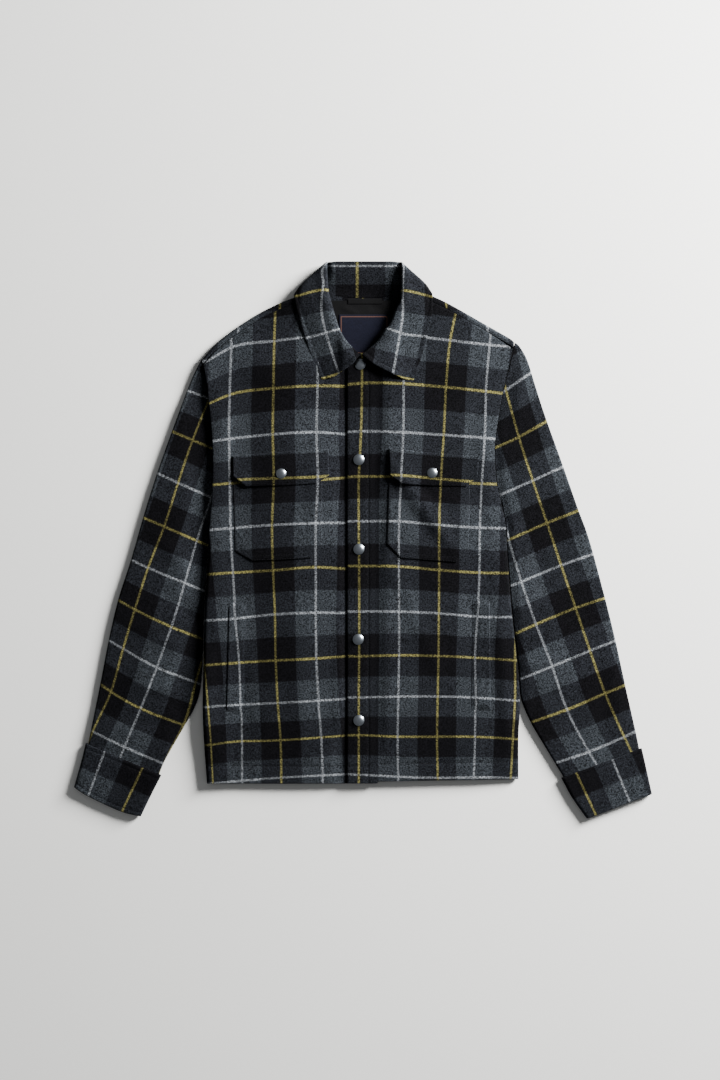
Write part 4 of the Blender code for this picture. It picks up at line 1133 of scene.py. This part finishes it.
LABEL_SPAN = [(0.0, -34, 320, -34, 263), (1.0, 37, 320, 37, 263)]
LINING_SPAN = [(0.0, -49, 340, -52, 250), (0.5, 1, 340, 1, 250), (1.0, 52, 340, 54, 250)]
LOOP_SPAN = [(0.0, -21, 343, -21, 335), (1.0, 27, 343, 27, 335)]
LINING_CREASES = [
    (-30, 330, -8, 322, 3, 0.6), (10, 332, 34, 326, 3.5, -0.5), (-44, 300, -30, 280, 4, 0.5)]
BLACK_LINING = (0.0022, 0.0022, 0.0024, 1)
NAVY = (0.0042, 0.0046, 0.0100, 1)
COPPER = (0.075, 0.036, 0.026, 1)
BORDER_MIDDLE = (0.0015, 0.2915)
BORDER_HALF = (0.0325, 0.0255)
BORDER_THREAD = (0.0004, 0.0008)
WEAVE_SCALE = 16


def plain_cloth(name, colour, roughness, mottle):
    """A material of plain woven cloth with a fine, even texture, its tree, shader and colour."""
    material, tree, shader = new_material(name, {"Roughness": roughness, "Specular IOR Level": 0.06})
    scale = {"Vector": object_place(tree), "Scale": (WEAVE_SCALE,) * 3}
    threads = add(tree, "ShaderNodeMapping", scale).outputs[0]
    return material, tree, shader, napped(tree, shader, colour, threads, mottle, 0.3, 0.0003)


def make_label():
    """Navy cloth with its border as a thin frame at a set distance from the label's middle."""
    material, tree, shader, colour = plain_cloth("navy label", NAVY, 0.7, 0.6)
    place = add(tree, "ShaderNodeSeparateXYZ", {0: object_place(tree)}).outputs
    off = []
    for axis in (0, 1):
        from_middle = figure(tree, "ABSOLUTE", figure(tree, "SUBTRACT", place[axis], BORDER_MIDDLE[axis]))
        off.append(figure(tree, "SUBTRACT", from_middle, BORDER_HALF[axis]))
    off_border = figure(tree, "ABSOLUTE", figure(tree, "MAXIMUM", *off))
    bordered = blended(tree, faded(tree, off_border, *BORDER_THREAD), colour, COPPER)
    tree.links.new(bordered, shader.inputs["Base Color"])
    return material


lining = plain_cloth("black lining", BLACK_LINING, 0.75, 0.3)[0]
label = make_label()


def on_back(x, y):
    return under_back(x, y) + SHELL + LAY + 1.0 + creased(x, y, LINING_CREASES)


def label_top(x, y, near):
    return on_back(x, y) + SEAM + 0.6 - 0.3 * (1 - turned(np.minimum.reduce(near), 1.5))


def loop_top(x, y, near):
    return on_back(x, y) + 0.8 - 0.3 * (1 - turned(np.minimum(near[2], near[3]), 1.5))


laid("neck_lining", LINING_SPAN, lambda x, y, near: on_back(x, y), 0.8, None,
     material=lining)
laid("neck_label", LABEL_SPAN, label_top, 0.5, None,
     material=label)
laid("hanger_loop", LOOP_SPAN, loop_top, 0.6, None,
     material=lining)

# The stitching
# Charcoal thread, 0.55 mm thick in stitches 2.7 mm long, along the hem, the placket, the chest pockets
# and their flaps. The collar and the cuffs show theirs as grooves in the cloth.

STITCH_PITCH = 3.6
STITCH_LENGTH = 2.7
THREAD = 0.55
THREAD_DARK = (0.002, 0.0022, 0.0025, 1)
THREAD_PALE = (0.009, 0.0095, 0.011, 1)
THREAD_LIFT = 0.05


def make_thread():
    material, tree, shader = new_material("charcoal thread", {"Roughness": 0.8, "Specular IOR Level": 0.1})
    twist = noise(tree, object_place(tree), 900.0, 2.0)[0]
    tree.links.new(blended(tree, twist, THREAD_DARK, THREAD_PALE), shader.inputs["Base Color"])
    return material


thread = make_thread()


def make_stitcher():
    """Stitches laid end to end along every edge of a mesh of lines."""
    tree = bpy.data.node_groups.new("stitches", "GeometryNodeTree")
    sockets = [("Lines", "Geometry"), ("Pitch", "Float"), ("Length", "Float"), ("Thickness", "Float"),
               ("Seed", "Int"), ("Thread", "Material")]
    for name, kind in sockets:
        tree.interface.new_socket(name, in_out="INPUT", socket_type="NodeSocket" + kind)
    tree.interface.new_socket("Stitches", in_out="OUTPUT", socket_type="NodeSocketGeometry")
    given, result = tree.nodes.new("NodeGroupInput").outputs, tree.nodes.new("NodeGroupOutput")
    line = add(tree, "GeometryNodeMeshToCurve", {0: given["Lines"]}).outputs[0]
    even = add(tree, "GeometryNodeResampleCurve", {"Curve": line, "Length": given["Pitch"]}, mode="LENGTH")
    along = tree.nodes.new("GeometryNodeInputTangent").outputs[0]
    facing = add(tree, "FunctionNodeAlignRotationToVector", {"Vector": along}, axis="X", pivot_axis="Z")
    one = add(tree, "GeometryNodeMeshUVSphere", {"Segments": 6, "Rings": 4, "Radius": 0.5})
    vary = add(tree, "FunctionNodeRandomValue", {2: 0.9, 3: 1.1, "Seed": given["Seed"]}, data_type="FLOAT")
    long = figure(tree, "MULTIPLY", given["Length"], vary.outputs[1])
    size = add(tree, "ShaderNodeCombineXYZ", {0: long, 1: given["Thickness"], 2: given["Thickness"]})
    inputs = {"Points": even.outputs[0], "Instance": one.outputs[0], "Rotation": facing.outputs[0],
              "Scale": size.outputs[0]}
    placed = add(tree, "GeometryNodeInstanceOnPoints", inputs)
    real = add(tree, "GeometryNodeRealizeInstances", {0: placed.outputs[0]})
    dyed = add(tree, "GeometryNodeSetMaterial", {0: real.outputs[0], "Material": given["Thread"]})
    tree.links.new(dyed.outputs[0], result.inputs[0])
    return tree


stitcher = make_stitcher()


def sew(name, lines, seed):
    """Stitches along these lines of points, given in millimetres, as one plain mesh."""
    points = np.concatenate(lines) * 0.001
    edges, start = [], 0
    for line in lines:
        edges += [(start + k, start + k + 1) for k in range(len(line) - 1)]
        start += len(line)
    guide_mesh = bpy.data.meshes.new(name + "_lines")
    guide_mesh.from_pydata(points.tolist(), edges, [])
    guide = bpy.data.objects.new(name + "_lines", guide_mesh)
    bpy.context.scene.collection.objects.link(guide)
    modifier = guide.modifiers.new("stitches", "NODES")
    modifier.node_group = stitcher
    values = {"Pitch": STITCH_PITCH / 1000, "Length": STITCH_LENGTH / 1000, "Thickness": THREAD / 1000,
              "Seed": seed, "Thread": thread}
    for item in stitcher.interface.items_tree:
        if item.in_out == "INPUT" and item.name in values:
            modifier[item.identifier] = values[item.name]
    made = guide.evaluated_get(bpy.context.evaluated_depsgraph_get())
    mesh = bpy.data.meshes.new_from_object(made)
    guide.modifiers.remove(modifier)
    bpy.data.objects.remove(guide, do_unlink=True)
    mesh.name = name
    mesh.shade_smooth()
    piece = bpy.data.objects.new(name, mesh)
    bpy.context.scene.collection.objects.link(piece)
    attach(piece, "root")


def on_surface(line, over, sunk=0.0):
    """A line of plan points on a surface, sunk this deep in its groove and a little proud of that."""
    return np.column_stack([line, over(line[:, 0], line[:, 1]) + (THREAD_LIFT - sunk)])


def inset_outline(table, inset, top_inset):
    """The sides and the bottom of a flat piece, this far in from its edges, from top left to top right."""
    table = np.array(table, float)
    bottom = [row[3:5] for row in table]
    corners = np.array([table[0, 1:3]] + bottom + [table[-1, 1:3]])
    lines = []
    for a, b in zip(corners[:-1], corners[1:]):
        way = (b - a) / np.linalg.norm(b - a)
        lines.append((a + inset * np.array([-way[1], way[0]]), way))
    points = [lines[0][0] + lines[0][1] * top_inset]
    for (a, u), (b, w) in zip(lines[:-1], lines[1:]):
        shares = np.linalg.solve(np.array([u, -w]).T, b - a)
        points.append(a + u * shares[0])
    last = lines[-1][1]
    points.append(corners[-1] + inset * np.array([-last[1], last[0]]) - last * top_inset)
    dense = [points[0]]
    for a, b in zip(points[:-1], points[1:]):
        count = max(2, int(np.linalg.norm(b - a) / 4))
        dense += [a + (b - a) * t for t in np.linspace(0, 1, count + 1)[1:]]
    return np.array(dense)


def stitch_body():
    shares = np.linspace(0.01, 0.99, 120)
    hem_right = path([(-216, -321), (-30, -321)], shares)
    hem_left = path([(8, -319.5), (110, -316.5), (215, -315)], shares)
    placket = np.column_stack([np.full(200, PLACKET_STITCH), np.linspace(-344, 255, 200)])
    sew("stitching_body", [on_surface(hem_right, over_front_right, 0.4),
                           on_surface(hem_left, over_front_left, 0.4),
                           on_surface(placket, over_front_left, 0.5)], 1)


def stitch_pockets():
    lines = []
    for side, (over, _) in FRONTS.items():
        def pocket(x, y, over=over):
            return over_pocket(over, x, y)

        def flap(x, y, over=over):
            return over(x, y) + 2 * (LAY + PATCH) - 0.1

        for inset in POCKET_STITCHES:
            lines.append(on_surface(inset_outline(POCKETS[side], inset, 8), pocket, 0.35))
        lines.append(on_surface(inset_outline(FLAPS[side], FLAP_STITCH, 2), flap, 0.3))
        top = np.array([row[1:3] for row in FLAPS[side]]) - (0, 5.0)
        lines.append(on_surface(path(top, np.linspace(0.03, 0.97, 40)), flap))
    sew("stitching_pockets", lines, 2)


stitch_body()
stitch_pockets()

# The snaps
# Silvery domed caps with a rolled rim, riveted through the cloth: five of 15.6 mm down the placket and
# one of 14.4 mm on each flap.

FRONT_SNAPS = [(-4, 249), (-6, 114), (-6, -13), (-7, -141), (-6, -256)]
FLAP_SNAPS = {"right": (-116, 94), "left": (98, 95)}
FRONT_CAP = (7.8, 3.0)
FLAP_CAP = (7.2, 2.8)
CAP_SIDES = 36
CAP_PROFILE = [
    (0.90, 0.0), (0.97, 0.05), (1.0, 0.14), (0.985, 0.24), (0.94, 0.30), (0.90, 0.33), (0.86, 0.42),
    (0.78, 0.58), (0.66, 0.74), (0.52, 0.86), (0.36, 0.94), (0.18, 0.985)]
CAP_DARK = (0.26, 0.29, 0.32, 1)
CAP_PALE = (0.40, 0.43, 0.47, 1)


def make_metal():
    material, tree, shader = new_material("brushed nickel", {"Metallic": 1.0})
    scratches = noise(tree, object_place(tree), 1500.0, 3.0)[0]
    rough = add(tree, "ShaderNodeMapRange", {"Value": scratches, "To Min": 0.24, "To Max": 0.36})
    tree.links.new(rough.outputs[0], shader.inputs["Roughness"])
    tree.links.new(blended(tree, scratches, CAP_DARK, CAP_PALE), shader.inputs["Base Color"])
    return material


metal = make_metal()


def make_snap(name, centre, under, radius, height):
    """A domed cap turned round its middle, with a rolled rim."""
    turns = [2 * math.pi * k / CAP_SIDES for k in range(CAP_SIDES)]
    x, y = centre
    points = [(x + radius * r * math.cos(t), y + radius * r * math.sin(t), under + height * h)
              for r, h in CAP_PROFILE for t in turns]
    faces = [list(range(CAP_SIDES))[::-1]]
    for ring in range(len(CAP_PROFILE) - 1):
        for k in range(CAP_SIDES):
            a, b = ring * CAP_SIDES + k, ring * CAP_SIDES + (k + 1) % CAP_SIDES
            faces.append([a, b, b + CAP_SIDES, a + CAP_SIDES])
    last = (len(CAP_PROFILE) - 1) * CAP_SIDES
    points.append((x, y, under + height))
    faces += [[last + k, last + (k + 1) % CAP_SIDES, len(points) - 1] for k in range(CAP_SIDES)]
    piece = solid_object(name + "_cap", points, faces, metal)
    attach(piece, "root")
    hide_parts(name)


def height_at(over, place):
    return float(over(np.array(place[0]), np.array(place[1])))


for number, place in enumerate(FRONT_SNAPS, 1):
    make_snap(f"snap_front_{number}", place, height_at(over_front_left, place) + 0.1, *FRONT_CAP)
for side, (over, _) in FRONTS.items():
    place = FLAP_SNAPS[side]
    make_snap("snap_flap_" + side, place, height_at(over, place) + 2 * (LAY + PATCH), *FLAP_CAP)

# The floor, the light and the camera
# A plain pale floor under a large soft light from the upper right and a pale sky, seen from straight
# above by a camera whose picture is 1.534 m tall at the height of the cloth.

PICTURE_TALL = 1.5336
CAMERA_HEIGHT = 2.4
CLOTH_LEVEL = 0.008
SENSOR = 36
FLOOR_HALF = 6
FLOOR_LEVEL = -0.0004
FLOOR_COLOUR = (0.86, 0.857, 0.825, 1)
SKY_COLOUR = (0.95, 0.97, 1.0, 1)
SKY_STRENGTH = 0.17
LIGHT_PLACE = (2.12, 1.38, 0.94)
LIGHT_SIZE = 0.95
LIGHT_POWER = 540

floor_mesh = bpy.data.meshes.new("floor")
floor_turns = ((-1, -1), (1, -1), (1, 1), (-1, 1))
floor_corners = [(FLOOR_HALF * x, FLOOR_HALF * y, FLOOR_LEVEL) for x, y in floor_turns]
floor_mesh.from_pydata(floor_corners, [], [(0, 1, 2, 3)])
floor_mesh.materials.append(new_material("pale floor", {
    "Base Color": FLOOR_COLOUR, "Roughness": 0.9, "Specular IOR Level": 0.1})[0])
floor = bpy.data.objects.new("floor", floor_mesh)
bpy.context.scene.collection.objects.link(floor)

world = bpy.data.worlds.new("sky")
world.use_nodes = True
world.node_tree.nodes["Background"].inputs["Color"].default_value = SKY_COLOUR
world.node_tree.nodes["Background"].inputs["Strength"].default_value = SKY_STRENGTH
bpy.context.scene.world = world

key_light = bpy.data.lights.new("key", "AREA")
key_light.shape = "RECTANGLE"
key_light.size = LIGHT_SIZE
key_light.size_y = LIGHT_SIZE
key_light.energy = LIGHT_POWER
key = bpy.data.objects.new("key", key_light)
key.location = LIGHT_PLACE
key.rotation_euler = key.location.to_track_quat("Z", "Y").to_euler()
bpy.context.scene.collection.objects.link(key)

camera_data = bpy.data.cameras.new("camera")
camera_data.sensor_fit = "VERTICAL"
camera_data.sensor_height = SENSOR
camera_data.lens = SENSOR * (CAMERA_HEIGHT - CLOTH_LEVEL) / PICTURE_TALL
camera = bpy.data.objects.new("camera", camera_data)
camera.location = (-0.0043, 0, CAMERA_HEIGHT)
bpy.context.scene.collection.objects.link(camera)
bpy.context.scene.camera = camera
